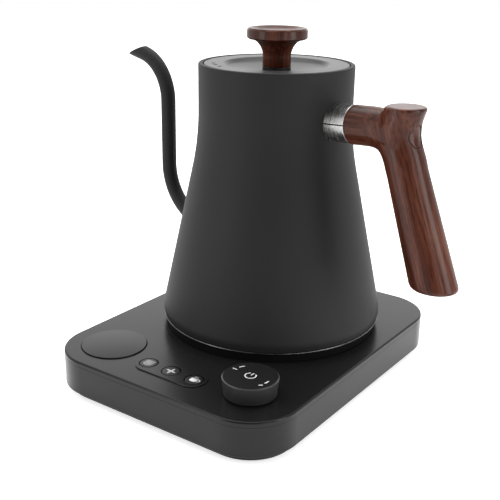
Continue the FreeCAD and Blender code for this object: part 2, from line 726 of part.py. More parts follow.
def make_base_shell():
    """The housing, the plate on top of it and the cover under it."""
    housing = body("base_housing")
    pad(housing, base_outline(housing, "housing_lift", "0"), "reveal_bottom - housing_lift")
    fillet(housing, flat_at("housing_lift"), "housing_edge")
    pad(housing, base_outline(housing, "reveal_bottom", "reveal_depth"), "reveal_height")
    pocket(housing, base_outline(housing, "plate_bottom", "housing_wall"), "plate_bottom - flange_top")
    pocket(housing, base_outline(housing, "flange_top", "housing_flange"))
    holes = [(x, y, "screw_radius + fit_gap") for x, y in COVER_SCREWS]
    pocket(housing, circles(sketch_on(housing, "XY_Plane", "flange_top"), holes))
    gland_hole = circles(sketch_on(housing, "XZ_Plane"), [("0", "gland_height", "gland_radius + fit_gap")])
    pocket(housing, gland_hole)
    keep(housing, "base_housing")

    plate = body("base_top_plate")
    pad(plate, base_outline(plate, "plate_bottom", "0"), "plate_thickness")
    fillet(plate, flat_at("base_height"), "plate_edge")
    strip = sketch_on(plate, "XY_Plane", "base_height")
    strip_line = "(strip_half_length - strip_radius)"
    strip_low = "-button_row - strip_radius"
    strip_high = "-button_row + strip_radius"
    outline(strip, [
        ("-" + strip_line, strip_low),
        (strip_line, strip_low, "strip_radius", "left"),
        (strip_line, strip_high),
        ("-" + strip_line, strip_high, "strip_radius", "left"),
    ])
    pad(plate, strip, "strip_rise")
    fillet(plate, flat_at("strip_top"), "strip_edge")
    openings = [
        ("-control_side", "-control_front", "lens_radius + lens_gap"),
        ("control_side", "-control_front", "bush_radius + fit_gap"),
        ("0", "0", "coupler_radius + fit_gap"),
    ]
    openings += [(x, "-button_row", "button_radius + button_gap") for name, x in BUTTONS]
    pocket(plate, circles(sketch_on(plate, "XY_Plane", "strip_top"), openings))
    posts = [(x, y, "post_radius") for x, y in COVER_SCREWS]
    pad(plate, circles(sketch_on(plate, "XY_Plane", "flange_top"), posts), "plate_bottom - flange_top")
    board_posts = [(x, y, "board_post_radius") for x, y in BOARD_SCREWS]
    pad(plate, circles(sketch_on(plate, "XY_Plane", "board_top"), board_posts), "board_drop")
    pilots = [(x, y, "screw_radius + fit_gap") for x, y in COVER_SCREWS]
    pilot_sketch = circles(sketch_on(plate, "XY_Plane", "flange_top"), pilots)
    pocket(plate, pilot_sketch, "screw_reach + moving_gap", forward=True)
    pilots = [(x, y, "small_screw + fit_gap") for x, y in BOARD_SCREWS]
    pilot_sketch = circles(sketch_on(plate, "XY_Plane", "board_top"), pilots)
    pocket(plate, pilot_sketch, "small_reach + moving_gap", forward=True)
    pilots = [(x, y, "small_screw + fit_gap") for x, y in SOCKET_SCREWS]
    pilot_sketch = circles(sketch_on(plate, "XY_Plane", "plate_bottom"), pilots)
    pocket(plate, pilot_sketch, "socket_screw_reach + moving_gap", forward=True)
    keep(plate, "base_top_plate")

    cover = body("base_bottom_cover")
    pad(cover, base_outline(cover, "foot_height", "cover_inset"), "cover_thickness")
    fillet(cover, flat_at("foot_height"), "cover_edge")
    posts = [(x, y, "board_post_radius") for x, y in POWER_SCREWS]
    pad(cover, circles(sketch_on(cover, "XY_Plane", "housing_lift"), posts), "power_rise")
    holes = [(x, y, "screw_radius + fit_gap") for x, y in COVER_SCREWS]
    pocket(cover, circles(sketch_on(cover, "XY_Plane", "housing_lift"), holes))
    pilots = [(x, y, "small_screw + fit_gap") for x, y in POWER_SCREWS]
    pilot_sketch = circles(sketch_on(cover, "XY_Plane", "power_bottom"), pilots)
    pocket(cover, pilot_sketch, "power_screw_reach + moving_gap")
    keep(cover, "base_bottom_cover")

    feet = [cylinder("foot", "foot_radius", "foot_height", x, y) for x, y in FEET]
    keep(group("base_feet", feet), "base_feet")
    reach = "cover_thickness + housing_floor + screw_reach"
    screws = [
        screw("cover_screw", "screw_radius", "screw_head", "screw_head_height", reach, x, y, "foot_height")
        for x, y in COVER_SCREWS
    ]
    keep(group("cover_screws", screws), "cover_screws")

    wall_inside = "(base_back - housing_wall)"
    gland = body("cord_gland")
    ring = circles(sketch_on(gland, "XZ_Plane", "-base_back"), [("0", "gland_height", "gland_radius")])
    pad(gland, ring, "housing_wall + gland_length")
    flange = sketch_on(gland, "XZ_Plane", "-base_back - gland_flange_height")
    circles(flange, [("0", "gland_height", "gland_radius + gland_flange")])
    pad(gland, flange, "gland_flange_height")
    inner = sketch_on(gland, "XZ_Plane", "-%s + moving_gap" % wall_inside)
    circles(inner, [("0", "gland_height", "gland_radius + gland_catch")])
    pad(gland, inner, "gland_flange_height")
    bore = circles(sketch_on(gland, "XZ_Plane"), [("0", "gland_height", "gland_bore")])
    pocket(gland, bore)
    keep(gland, "cord_gland")


def make_controls():
    """The lens, the buttons, the dial and the boards and switches under them."""
    lens = turned_body("display_lens", [
        ("0", "plate_bottom - lens_flange_height"),
        ("lens_radius + lens_flange", "plate_bottom - lens_flange_height"),
        ("lens_radius + lens_flange", "plate_bottom"),
        ("lens_radius", "plate_bottom"),
        ("lens_radius", "lens_top - lens_edge", "lens_edge", "left"),
        ("lens_radius - lens_edge", "lens_top"),
        ("0", "lens_top"),
    ])
    set_at(lens, "-control_side", "-control_front")
    keep(lens, "display_lens")

    for name, x in BUTTONS:
        button = turned_body(name, [
            ("0", "button_stem_bottom"),
            ("button_stem", "button_stem_bottom"),
            ("button_stem", "button_flange_bottom"),
            ("button_radius + button_flange", "button_flange_bottom"),
            ("button_radius + button_flange", "button_flange_top"),
            ("button_radius", "button_flange_top"),
            ("button_radius", "strip_top - button_edge"),
            ("button_radius - button_edge", "strip_top"),
            ("0", "strip_top"),
        ])
        set_at(button, x, "-button_row")
        keep(button, name)

    dial = turned_body("dial_knob", [
        ("0", "shaft_top + fit_gap"),
        ("shaft_radius + fit_gap", "shaft_top + fit_gap"),
        ("shaft_radius + fit_gap", "dial_hub"),
        ("dial_boss", "dial_hub"),
        ("dial_boss", "dial_top - dial_cap"),
        ("dial_radius - dial_wall", "dial_top - dial_cap"),
        ("dial_radius - dial_wall", "dial_bottom"),
        ("dial_radius", "dial_bottom"),
        ("dial_top_radius", "dial_top - dial_edge"),
        ("dial_top_radius - dial_edge", "dial_top"),
        ("0", "dial_top"),
    ])
    set_at(dial, "control_side", "-control_front")
    keep(dial, "dial_knob")
    shaft_bottom = "(plunger_top + running_gap)"
    shaft = cylinder("encoder_shaft", "shaft_radius", "shaft_top - " + shaft_bottom,
                     "control_side", "-control_front", shaft_bottom)
    keep(shaft, "encoder_shaft")

    encoder = body("encoder_body")
    half = "encoder_side / 2"
    case = sketch_on(encoder, "XY_Plane", "board_top")
    outline(case, [("-" + half, "-" + half), (half, "-" + half), (half, half), ("-" + half, half)])
    pad(encoder, case, "board_drop")
    bush = circles(sketch_on(encoder, "XY_Plane", "plate_bottom"), [("0", "0", "bush_radius")])
    pad(encoder, bush, "nut_top - plate_bottom")
    well = circles(sketch_on(encoder, "XY_Plane", "nut_top"), [("0", "0", "shaft_radius + running_gap")])
    pocket(encoder, well, "nut_top - encoder_cavity")
    set_at(encoder, "control_side", "-control_front")
    keep(encoder, "encoder_body")
    plunger = cylinder("encoder_plunger", "shaft_radius", "plunger_height",
                       "control_side", "-control_front", "plunger_bottom")
    keep(plunger, "encoder_plunger")

    nut = doc.addObject("Part::Prism", "nut_prism")
    nut.Polygon = 6
    bind(nut, Circumradius="nut_radius", Height="nut_height")
    set_at(nut, "control_side", "-control_front", "base_height")
    nut_hole = cylinder("nut_hole", "bush_radius + fit_gap", "nut_height",
                        "control_side", "-control_front", "base_height")
    keep(cut("encoder_nut", nut, [nut_hole]), "encoder_nut")

    board = body("control_board")
    sketch = sketch_on(board, "XY_Plane", "board_bottom")
    outline(sketch, [
        ("-board_half_length", "-board_front"),
        ("board_half_length", "-board_front"),
        ("board_half_length", "-board_back"),
        ("-board_half_length", "-board_back"),
    ])
    pad(board, sketch, "board_thickness")
    holes = [(x, y, "small_screw + fit_gap") for x, y in BOARD_SCREWS]
    pocket(board, circles(sketch_on(board, "XY_Plane", "board_top"), holes))
    keep(board, "control_board")
    screws = [
        screw("board_screw", "small_screw", "small_head", "small_head_height",
              "board_thickness + small_reach", x, y, "board_bottom")
        for x, y in BOARD_SCREWS
    ]
    keep(group("board_screws", screws), "board_screws")

    switches = []
    for name, x in BUTTONS:
        case = block("switch_case", "switch_side", "switch_side", "switch_case_height",
                     x, "-button_row", "board_top")
        press = cylinder("switch_press", "button_stem", "switch_height", x, "-button_row", "board_top")
        switches.append(fused("switch", [case, press]))
    keep(group("button_switches", switches), "button_switches")

    module = block("module_case", "display_length", "display_depth", "display_height",
                   "-control_side", "-control_front", "board_top")
    keep(module, "display_module")


def make_power():
    """The power board at the back of the base and what is on it."""
    board = body("power_board")
    sketch = sketch_on(board, "XY_Plane", "power_bottom")
    outline(sketch, [
        ("-power_half_length", "power_start"),
        ("power_half_length", "power_start"),
        ("power_half_length", "power_start + power_depth"),
        ("-power_half_length", "power_start + power_depth"),
    ])
    pad(board, sketch, "board_thickness")
    holes = [(x, y, "small_screw + fit_gap") for x, y in POWER_SCREWS]
    pocket(board, circles(sketch_on(board, "XY_Plane", "power_top"), holes))
    keep(board, "power_board")
    screws = [
        screw("power_screw", "small_screw", "small_head", "small_head_height",
              "board_thickness + power_screw_reach", x, y, "power_top", head_up=True)
        for x, y in POWER_SCREWS
    ]
    keep(group("power_board_screws", screws), "power_board_screws")
    relay = block("relay_case", "relay_length", "relay_depth", "relay_height",
                  "relay_side", "power_middle", "power_top")
    keep(relay, "relay")
    core = block("transformer_core", "transformer_length", "transformer_depth", "core_height",
                 "transformer_side", "power_middle", "power_top + core_lift")
    winding = block("transformer_winding", "winding_length", "winding_depth", "transformer_height",
                    "transformer_side", "power_middle", "power_top")
    keep(fused("transformer", [core, winding]), "transformer")
    buzzer = cylinder("buzzer_case", "buzzer_radius", "buzzer_height",
                      "buzzer_side", "power_middle", "power_top")
    sound_hole = cylinder("sound_hole", "buzzer_hole", "buzzer_hole_depth",
                          "buzzer_side", "power_middle", "power_top + buzzer_height - buzzer_hole_depth")
    keep(cut("buzzer", buzzer, [sound_hole]), "buzzer")


def make_coupler():
    """The round coupler: its socket and pins on the base, and the ring that turns round it."""
    def groove(middle):
        """The inner and outer sides of the groove for one blade ring."""
        spare = "(blade_wall / 2 + blade_gap)"
        return "%s - %s" % (middle, spare), "%s + %s" % (middle, spare)

    small_in, small_out = groove("blade_small")
    large_in, large_out = groove("blade_large")
    pin_hole = "blade_pin + blade_gap"
    socket = turned_body("coupler_socket", [
        ("0", "socket_bottom"),
        ("coupler_radius", "socket_bottom"),
        ("coupler_radius", "plate_bottom - socket_flange_height"),
        ("socket_flange", "plate_bottom - socket_flange_height"),
        ("socket_flange", "plate_bottom"),
        ("coupler_radius", "plate_bottom"),
        ("coupler_radius", "boss_top"),
        (large_out, "boss_top"),
        (large_out, "groove_bottom"),
        (large_in, "groove_bottom"),
        (large_in, "boss_top"),
        (small_out, "boss_top"),
        (small_out, "groove_bottom"),
        (small_in, "groove_bottom"),
        (small_in, "boss_top"),
        (pin_hole, "boss_top"),
        (pin_hole, "groove_bottom"),
        ("0", "groove_bottom"),
    ])
    contacts = [("0", "0"), ("blade_small", "0"), ("-blade_large", "0")]
    holes = [(x, y, "contact_radius + fit_gap") for x, y in contacts]
    pocket(socket, circles(sketch_on(socket, "XY_Plane", "groove_bottom"), holes))
    holes = [(x, y, "small_screw + fit_gap") for x, y in SOCKET_SCREWS]
    pocket(socket, circles(sketch_on(socket, "XY_Plane", "plate_bottom"), holes))
    keep(socket, "coupler_socket")
    pin_bottom = "(socket_bottom - contact_tail)"
    pins = [
        cylinder("contact_pin", "contact_radius", "contact_top - " + pin_bottom, x, y, pin_bottom)
        for x, y in contacts
    ]
    keep(group("coupler_contacts", pins), "coupler_contacts")
    reach = "socket_flange_height + socket_screw_reach"
    seat = "(plate_bottom - socket_flange_height)"
    screws = [
        screw("socket_screw", "small_screw", "small_head", "small_head_height", reach, x, y, seat)
        for x, y in SOCKET_SCREWS
    ]
    keep(group("socket_screws", screws), "socket_screws")

    ring = turned_body("swivel_ring", [
        ("coupler_radius + running_gap", "base_height"),
        ("ring_radius", "base_height"),
        ("ring_radius", "ring_top"),
        ("coupler_radius + running_gap", "ring_top"),
    ])
    notches = [(x, y, "ring_notch") for x, y in round_places("ring_radius", 6)]
    pocket(ring, circles(sketch_on(ring, "XY_Plane", "ring_top"), notches))
    keep(ring, "swivel_ring", turned=True)


def outer_form(name):
    """The steel body's outside as a solid, larger by the fitting gap, to trim what meets it."""
    form = turned_body(name, [
        ("0", "kettle_foot"),
        ("body_radius + fit_gap", "kettle_foot"),
        ("neck_radius + fit_gap", "shoulder_level"),
        ("neck_radius + fit_gap", "rim_top"),
        ("0", "rim_top"),
    ])
    fillet(form, ring_at("shoulder_level", "neck_radius + fit_gap"), "shoulder_blend")
    return form


def make_vessel():
    """The steel body, the lid's seat in its neck and its floor."""
    shell = turned_body("kettle_body", [
        ("body_radius - kettle_wall", "kettle_foot"),
        ("body_radius", "kettle_foot"),
        ("neck_radius", "shoulder_level"),
        ("neck_radius", "rim_top"),
        ("lip_inner", "rim_top"),
        ("lip_inner", "seat_top"),
        ("neck_inner", "seat_top"),
        ("neck_inner", "shoulder_level"),
    ])
    fillet(shell, ring_at("shoulder_level", "neck_radius"), "shoulder_blend")
    fillet(shell, ring_at("shoulder_level", "neck_inner"), "shoulder_blend + kettle_wall")
    fillet(shell, ring_at("rim_top", "neck_radius"), "rim_round")
    spout_hole = circles(sketch_on(shell, "YZ_Plane"), [("0", "spout_level", "spout_radius - spout_wall")])
    pocket(shell, spout_hole)
    keep(shell, "kettle_body", turned=True)

    seat_outer = "neck_inner - fit_gap"
    seat = turned_body("lid_seat", [
        ("seat_inner", "seat_top - seat_sheet"),
        (seat_outer + " - seat_sheet", "seat_top - seat_sheet"),
        (seat_outer + " - seat_sheet", "seat_top - seat_depth"),
        (seat_outer, "seat_top - seat_depth"),
        (seat_outer, "seat_top"),
        ("seat_inner", "seat_top"),
    ])
    keep(seat, "lid_seat", turned=True)

    inside = " - kettle_wall - fit_gap"
    floor = turned_body("vessel_floor", [
        ("0", "floor_bottom"),
        (cone_radius("floor_bottom") + inside, "floor_bottom"),
        (cone_radius("floor_top") + inside, "floor_top"),
        ("0", "floor_top"),
    ])
    seal_hole = [("probe_out", "0", "probe_radius + seal_wall + fit_gap")]
    pocket(floor, circles(sketch_on(floor, "XY_Plane", "floor_top"), seal_hole))
    keep(floor, "vessel_floor", turned=True)


def make_heater():
    """Everything under the vessel's floor: heater, probe, coupler plug and bottom cap."""
    spreader = turned_body("heat_spreader", [
        ("0", "spreader_bottom"),
        ("spreader_radius", "spreader_bottom"),
        ("spreader_radius", "floor_bottom"),
        ("0", "floor_bottom"),
    ])
    pilots = [(x, y, "small_screw + fit_gap") for x, y in PLUG_SCREWS]
    pilot_sketch = circles(sketch_on(spreader, "XY_Plane", "spreader_bottom"), pilots)
    pocket(spreader, pilot_sketch, "plug_screw_reach + moving_gap", forward=True)
    keep(spreader, "heat_spreader", turned=True)

    element_bottom = "spreader_bottom - element_height"
    element_in = "element_radius - element_width / 2"
    element_out = "element_radius + element_width / 2"
    element = turned_body("heating_element", [
        (element_in, element_bottom),
        (element_out, element_bottom),
        (element_out, "spreader_bottom"),
        (element_in, "spreader_bottom"),
    ], "element_sweep")
    lower_rings = (ring_at(element_bottom, element_in), ring_at(element_bottom, element_out))
    fillet(element, lambda edge: any(test(edge) for test in lower_rings), "element_round")
    keep(element, "heating_element", turned=True)

    lip_radius = "probe_radius + seal_wall + seal_lip"
    seal_bottom = "floor_bottom - seal_lip_height"
    probe = turned_body("probe_tube", [
        ("0", "floor_bottom - probe_drop"),
        ("probe_radius", "floor_bottom - probe_drop"),
        ("probe_radius", seal_bottom + " - probe_flange_height"),
        ("probe_radius + probe_flange", seal_bottom + " - probe_flange_height"),
        ("probe_radius + probe_flange", seal_bottom),
        ("probe_radius", seal_bottom),
        ("probe_radius", "floor_top + probe_rise - probe_radius", "probe_radius", "left"),
        ("0", "floor_top + probe_rise"),
    ])
    set_at(probe, "probe_out")
    keep(group("temperature_probe", [probe]), "temperature_probe", turned=True)
    seal = turned_body("seal_ring", [
        ("probe_radius + fit_gap", seal_bottom),
        (lip_radius, seal_bottom),
        (lip_radius, "floor_bottom"),
        ("probe_radius + seal_wall", "floor_bottom"),
        ("probe_radius + seal_wall", "floor_top"),
        (lip_radius, "floor_top"),
        (lip_radius + " - seal_taper", "floor_top + seal_lip_height"),
        ("probe_radius + fit_gap", "floor_top + seal_lip_height"),
    ])
    set_at(seal, "probe_out")
    keep(group("probe_seal", [seal]), "probe_seal", turned=True)

    skirt_out = "plug_skirt + plug_wall"
    plug = turned_body("coupler_plug", [
        ("0", "plug_ceiling"),
        ("plug_skirt", "plug_ceiling"),
        ("plug_skirt", "cap_floor"),
        (skirt_out, "cap_floor"),
        (skirt_out, "plug_flange_bottom"),
        ("plug_flange", "plug_flange_bottom"),
        ("plug_flange", "spreader_bottom"),
        ("0", "spreader_bottom"),
    ])
    holes = [(x, y, "small_screw + fit_gap") for x, y in PLUG_SCREWS]
    pocket(plug, circles(sketch_on(plug, "XY_Plane", "spreader_bottom"), holes))
    keep(plug, "coupler_plug", turned=True)
    blades = [cylinder("blade_pin_tube", "blade_pin", "plug_ceiling - blade_bottom", z="blade_bottom")]
    for middle in ("blade_small", "blade_large"):
        outside = cylinder(middle + "_outside", middle + " + blade_wall / 2",
                           "plug_ceiling - blade_bottom", z="blade_bottom")
        inside = cylinder(middle + "_inside", middle + " - blade_wall / 2",
                          "plug_ceiling - blade_bottom", z="blade_bottom")
        blades.append(cut(middle + "_ring", outside, [inside]))
    keep(group("plug_contacts", blades), "plug_contacts", turned=True)
    reach = "plug_flange_height + plug_screw_reach"
    screws = [
        screw("plug_screw", "small_screw", "small_head", "small_head_height", reach,
              x, y, "plug_flange_bottom")
        for x, y in PLUG_SCREWS
    ]
    keep(group("coupler_screws", screws), "coupler_screws", turned=True)

    hole = skirt_out + " + moving_gap"
    spigot = cone_radius("cap_top") + " - kettle_wall - moving_gap"
    cap = turned_body("bottom_cap", [
        (hole, "cap_floor"),
        ("cap_radius - cap_wall", "cap_floor"),
        ("cap_radius - cap_wall", "cap_bottom"),
        ("cap_radius", "cap_bottom"),
        ("cap_radius", "kettle_foot"),
        (spigot, "cap_top"),
        (spigot + " - cap_wall", "cap_top"),
        (spigot + " - cap_wall", "cap_floor_top"),
        (hole, "cap_floor_top"),
    ])
    posts = [(x, y, "cap_post_radius") for x, y in STUDS]
    pad(cap, circles(sketch_on(cap, "XY_Plane", "cap_floor"), posts), "stud_bottom - cap_floor")
    holes = [(x, y, "screw_radius + fit_gap") for x, y in STUDS]
    pocket(cap, circles(sketch_on(cap, "XY_Plane", "stud_bottom"), holes))
    sinks = [(x, y, "screw_head + fit_gap") for x, y in STUDS]
    sink_sketch = circles(sketch_on(cap, "XY_Plane", "cap_floor"), sinks)
    pocket(cap, sink_sketch, "cap_screw_sink", forward=True)
    keep(cap, "bottom_cap", turned=True)
    studs = []
    for x, y in STUDS:
        rod = cylinder("stud_rod", "stud_radius", "stud_length", x, y, "stud_bottom")
        thread = cylinder("stud_thread", "screw_radius + fit_gap", "cap_screw_reach + moving_gap",
                          x, y, "stud_bottom")
        studs.append(cut("stud", rod, [thread]))
    keep(group("floor_studs", studs), "floor_studs", turned=True)
    head_seat = "(cap_floor + cap_screw_sink)"
    reach = "stud_bottom - %s + cap_screw_reach" % head_seat
    screws = [
        screw("cap_screw", "screw_radius", "screw_head", "screw_head_height", reach, x, y, head_seat)
        for x, y in STUDS
    ]
    keep(group("bottom_cap_screws", screws), "bottom_cap_screws", turned=True)


def make_spout():
    """The swan-neck spout: a bent tube, trimmed to the body and cut slanting at its tip."""
    tube = body("spout_tube")
    path = sketch_on(tube, "XZ_Plane")
    start = "(spout_low_start - spout_low_bend)"
    outline(path, [
        ("-" + start, "spout_level"),
        ("-spout_low_start", "spout_level", "spout_low_bend", "right"),
        ("-spout_reach", "spout_low_top"),
        ("-spout_reach", "spout_high_start", "spout_high_bend", "left"),
        ("-spout_high_x", "spout_high_z"),
        ("-spout_end_x", "spout_end_z"),
    ], closed=False)
    for kind, radius in (("AdditivePipe", "spout_radius"), ("SubtractivePipe", "spout_radius - spout_wall")):
        section = circles(sketch_on(tube, "YZ_Plane", "-" + start), [("0", "spout_level", radius)])
        pipe = tube.newObject("PartDesign::" + kind, "spout_pipe")
        pipe.Profile = section
        pipe.Spine = (path, [])
        doc.recompute()
    low_x = "(spout_end_x + spout_radius * cos(spout_high_turn))"
    low_z = "(spout_end_z - spout_radius * sin(spout_high_turn))"
    high_x = "(spout_high_x - spout_radius * cos(spout_high_turn))"
    high_z = "(spout_high_z + spout_radius * sin(spout_high_turn))"
    tip = outline(sketch_on(tube, "XZ_Plane"), [
        ("-" + low_x, low_z),
        ("-" + high_x, high_z),
        ("-" + high_x, high_z + " + spout_tip"),
        ("-%s - spout_tip" % low_x, high_z + " + spout_tip"),
        ("-%s - spout_tip" % low_x, low_z),
    ])
    pocket(tube, tip, both_ways=True)
    keep(cut("spout", tube, [outer_form("spout_trim")]), "spout", turned=True)


def make_handle():
    """The wooden handle, its bolt and plug, and the steel sleeve that stands it off the neck."""
    sleeve_length = "ferrule_length + ferrule_radius"
    ferrule = along_arm(cylinder("ferrule_tube", "ferrule_radius", sleeve_length), "-ferrule_radius")
    ferrule_bore = cylinder("ferrule_bore", "ferrule_radius - ferrule_wall", sleeve_length)
    along_arm(ferrule_bore, "-ferrule_radius")
    sleeve = cut("handle_ferrule", ferrule, [ferrule_bore, outer_form("ferrule_trim")])
    keep(sleeve, "handle_ferrule", turned=True)
    anchor_full = "anchor_length + anchor_radius"
    anchor = along_bolt(cylinder("anchor_rod", "anchor_radius", anchor_full), "-anchor_radius")
    thread = cylinder("anchor_thread", "bolt_radius + fit_gap", "anchor_length")
    along_bolt(thread, "bolt_start - fit_gap")
    keep(cut("handle_boss", anchor, [thread, outer_form("anchor_trim")]), "handle_boss", turned=True)

    arm = along_arm(cylinder("arm_rod", "arm_radius", "grip_out - ferrule_length"), "ferrule_length")
    grip = doc.addObject("Part::Cone", "grip_cone")
    grip.Placement = Placement(Vector(), Rotation(Vector(0, 1, 0), 1))
    bind(grip, Radius1="grip_end_radius", Radius2="grip_top_radius", Height="grip_length + grip_spare")
    bind(grip, Placement__Rotation__Angle="-grip_lean")
    set_at(grip, "grip_foot_x + grip_spare * sin(grip_lean)", "0", "grip_foot_z - grip_spare * cos(grip_lean)")
    head = body("head_flare")
    disc = circles(sketch_on(head, "XY_Plane", "grip_z"), [("grip_x", "0", "head_radius")])
    flare = pad(head, disc, "head_height")
    flare.UseCustomVector = True
    flare.AlongSketchNormal = True
    bind(flare, Direction__x="head_back", Direction__z="head_height")
    doc.recompute()
    fillet(head, flat_at("head_z"), "head_round")

    elbow = body("underarm_elbow")
    path = outline(sketch_on(elbow, "XZ_Plane"), [
        ("elbow_start_x", "elbow_start_z"),
        ("elbow_in_x", "elbow_in_z", "elbow_bend", "right"),
        ("elbow_out_x", "elbow_out_z"),
        ("elbow_end_x", "elbow_end_z"),
    ], closed=False)
    section = sketch_on(elbow, "YZ_Plane", "elbow_start_x")
    section.AttachmentOffset = Placement(Vector(), Rotation(Vector(1, 0, 0), -1))
    bind(section, AttachmentOffset__Base__y="elbow_start_z")
    bind(section, AttachmentOffset__Rotation__Angle="-arm_rise")
    circles(section, [("0", "0", "elbow_radius")])
    pipe = elbow.newObject("PartDesign::AdditivePipe", "elbow_pipe")
    pipe.Profile = section
    pipe.Spine = (path, [])
    doc.recompute()
    wood = fused("handle_wood", [arm, grip, head, elbow])
    bolt_hole = along_bolt(cylinder("bolt_hole", "bolt_radius + fit_gap", "bolt_seat"), "bolt_start")
    plug_hole = along_bolt(cylinder("plug_hole", "plug_radius + fit_gap", "grip_out"), "bolt_seat")
    below = "2 * grip_spare"
    across = "4 * grip_end_radius"
    foot_cut = block("foot_cut", across, across, below, "grip_foot_x", "0", "grip_foot_z - 2 * grip_spare")
    carved = cut("handle_carved", wood, [bolt_hole, plug_hole, foot_cut])
    doc.recompute()
    rounded = doc.addObject("Part::Fillet", "handle_rounded")
    rounded.Base = carved
    numbers = [int(name[4:]) for name in edges_where(carved.Shape, flat_at("grip_foot_z"))]
    radius = value_of("grip_foot_round")
    rounded.Edges = [(number, radius, radius) for number in numbers]
    keep(rounded, "handle", turned=True)

    shank = along_bolt(cylinder("bolt_shank", "bolt_radius", "bolt_seat - bolt_start"), "bolt_start")
    bolt_top = along_bolt(cylinder("bolt_top", "bolt_head", "bolt_head_height"), "bolt_seat")
    bolt = fused("bolt_solid", [shank, bolt_top])
    key = cylinder("bolt_socket", "bolt_key", "bolt_key_depth")
    along_bolt(key, "bolt_seat + bolt_head_height - bolt_key_depth")
    keep(cut("handle_bolt", bolt, [key]), "handle_bolt", turned=True)
    plug = along_bolt(cylinder("plug_disc", "plug_radius", "plug_length"), "plug_start")
    keep(group("handle_plug", [plug]), "handle_plug", turned=True)


def make_lid():
    """The lid: sheet cap, liner, seal, and the wooden knob with its fixing."""
    screw_hole = "lid_screw_radius + fit_gap"
    under = " - lid_sheet"
    edge_bottom = "seat_top + fit_gap"
    lid = turned_body("lid_cap", [
        (screw_hole, "liner_top"),
        ("lid_middle", "liner_top"),
        ("lid_shoulder", "lid_top - lid_sheet"),
        ("lid_radius" + under, "lid_top - lid_sheet"),
        ("lid_radius" + under, edge_bottom),
        ("lid_radius", edge_bottom),
        ("lid_radius", "lid_top"),
        ("lid_shoulder", "lid_top"),
        ("lid_middle", "lid_floor"),
        (screw_hole, "lid_floor"),
    ])
    vents = []
    for step in (-1, 0, 1):
        angle = "(vent_first - kettle_turn + %d * vent_step)" % step
        vents.append(("vent_circle * cos%s" % angle, "vent_circle * sin%s" % angle, "vent_radius"))
    pocket(lid, circles(sketch_on(lid, "XY_Plane", "lid_top"), vents))
    keep(lid, "lid_cap", turned=True)

    liner = turned_body("lid_liner", [
        (screw_hole, "liner_bottom"),
        ("liner_radius - liner_sheet", "liner_bottom"),
        ("liner_radius - liner_sheet", "liner_top - liner_depth"),
        ("liner_radius", "liner_top - liner_depth"),
        ("liner_radius", "liner_top"),
        (screw_hole, "liner_top"),
    ])
    keep(liner, "lid_liner", turned=True)

    inner = "liner_radius + fit_gap"
    waist = "(liner_radius + lid_seal_radius) / 2"
    seal = turned_body("lid_seal", [
        (inner, "seal_top - seal_height"),
        ("lid_seal_radius", "seal_top - seal_height"),
        ("lid_seal_radius", "seal_top - seal_height + seal_fin"),
        (waist, "seal_top - seal_height + 2 * seal_fin"),
        (waist, "seal_top - 2 * seal_fin"),
        ("lid_seal_radius", "seal_top - seal_fin"),
        ("lid_seal_radius", "seal_top"),
        (inner, "seal_top"),
    ])
    keep(seal, "lid_seal", turned=True)

    washer = turned_body("knob_washer", [
        (screw_hole, "lid_floor"),
        ("knob_washer_radius", "lid_floor"),
        ("knob_washer_radius", "knob_bottom"),
        (screw_hole, "knob_bottom"),
    ])
    keep(washer, "knob_washer", turned=True)

    hole = "insert_radius + fit_gap"
    knob = turned_body("lid_knob", [
        (hole, "knob_bottom"),
        ("knob_stem", "knob_bottom"),
        ("knob_stem", "knob_bottom + knob_stem_height", "knob_flare", "right"),
        ("knob_stem + knob_flare", "knob_flare_end"),
        ("knob_radius", "knob_edge_bottom"),
        ("knob_radius", "knob_top - knob_bevel", "knob_bevel", "left"),
        ("knob_radius - knob_bevel", "knob_top"),
        ("0", "knob_top - knob_dish"),
        ("0", "insert_top + fit_gap"),
        (hole, "insert_top + fit_gap"),
    ])
    keep(knob, "lid_knob", turned=True)

    thread = "lid_screw_radius + fit_gap"
    insert = turned_body("knob_insert", [
        (thread, "knob_bottom"),
        ("insert_radius", "knob_bottom"),
        ("insert_radius", "insert_top"),
        ("0", "insert_top"),
        ("0", "knob_bottom + lid_screw_reach + moving_gap"),
        (thread, "knob_bottom + lid_screw_reach + moving_gap"),
    ])
    keep(insert, "knob_insert", turned=True)
    reach = "knob_bottom - liner_bottom + lid_screw_reach"
    fixing = screw("lid_screw_solid", "lid_screw_radius", "lid_screw_head", "lid_screw_head_height",
                   reach, "0", "0", "liner_bottom")
    keep(group("lid_screw", [fixing]), "lid_screw", turned=True)


make_base_shell()
make_controls()
make_power()
make_coupler()
make_vessel()
make_heater()
make_spout()
make_handle()
make_lid()
doc.recompute()

failed = [item.Name for item in doc.Objects if {"Invalid", "Error"} & set(item.State)]
if failed:
    raise RuntimeError("failed objects: " + ", ".join(failed))
for piece in pieces:
    if piece.Shape.isNull() or not piece.Shape.isValid():
        raise RuntimeError("bad shape: " + piece.Label)
os.makedirs("parts", exist_ok=True)
for piece in pieces:
    piece.Shape.exportStep("parts/" + piece.Label + ".step")
    print("%-20s %d solids %10.1f mm3" % (piece.Label, len(piece.Shape.Solids), piece.Shape.Volume))
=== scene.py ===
# %% [markdown]
# A gooseneck kettle on its powered base, drawn from arrays of points.
# The measured model brings the inner pieces and the flat mouldings, already in place and in metres.
# What the eye rests on (steel shell, spout, wood, sleeve, knob) is made again here, with soft edges.

# %% Load the measured frame
import json
import bpy
import numpy as np
from mathutils import Matrix


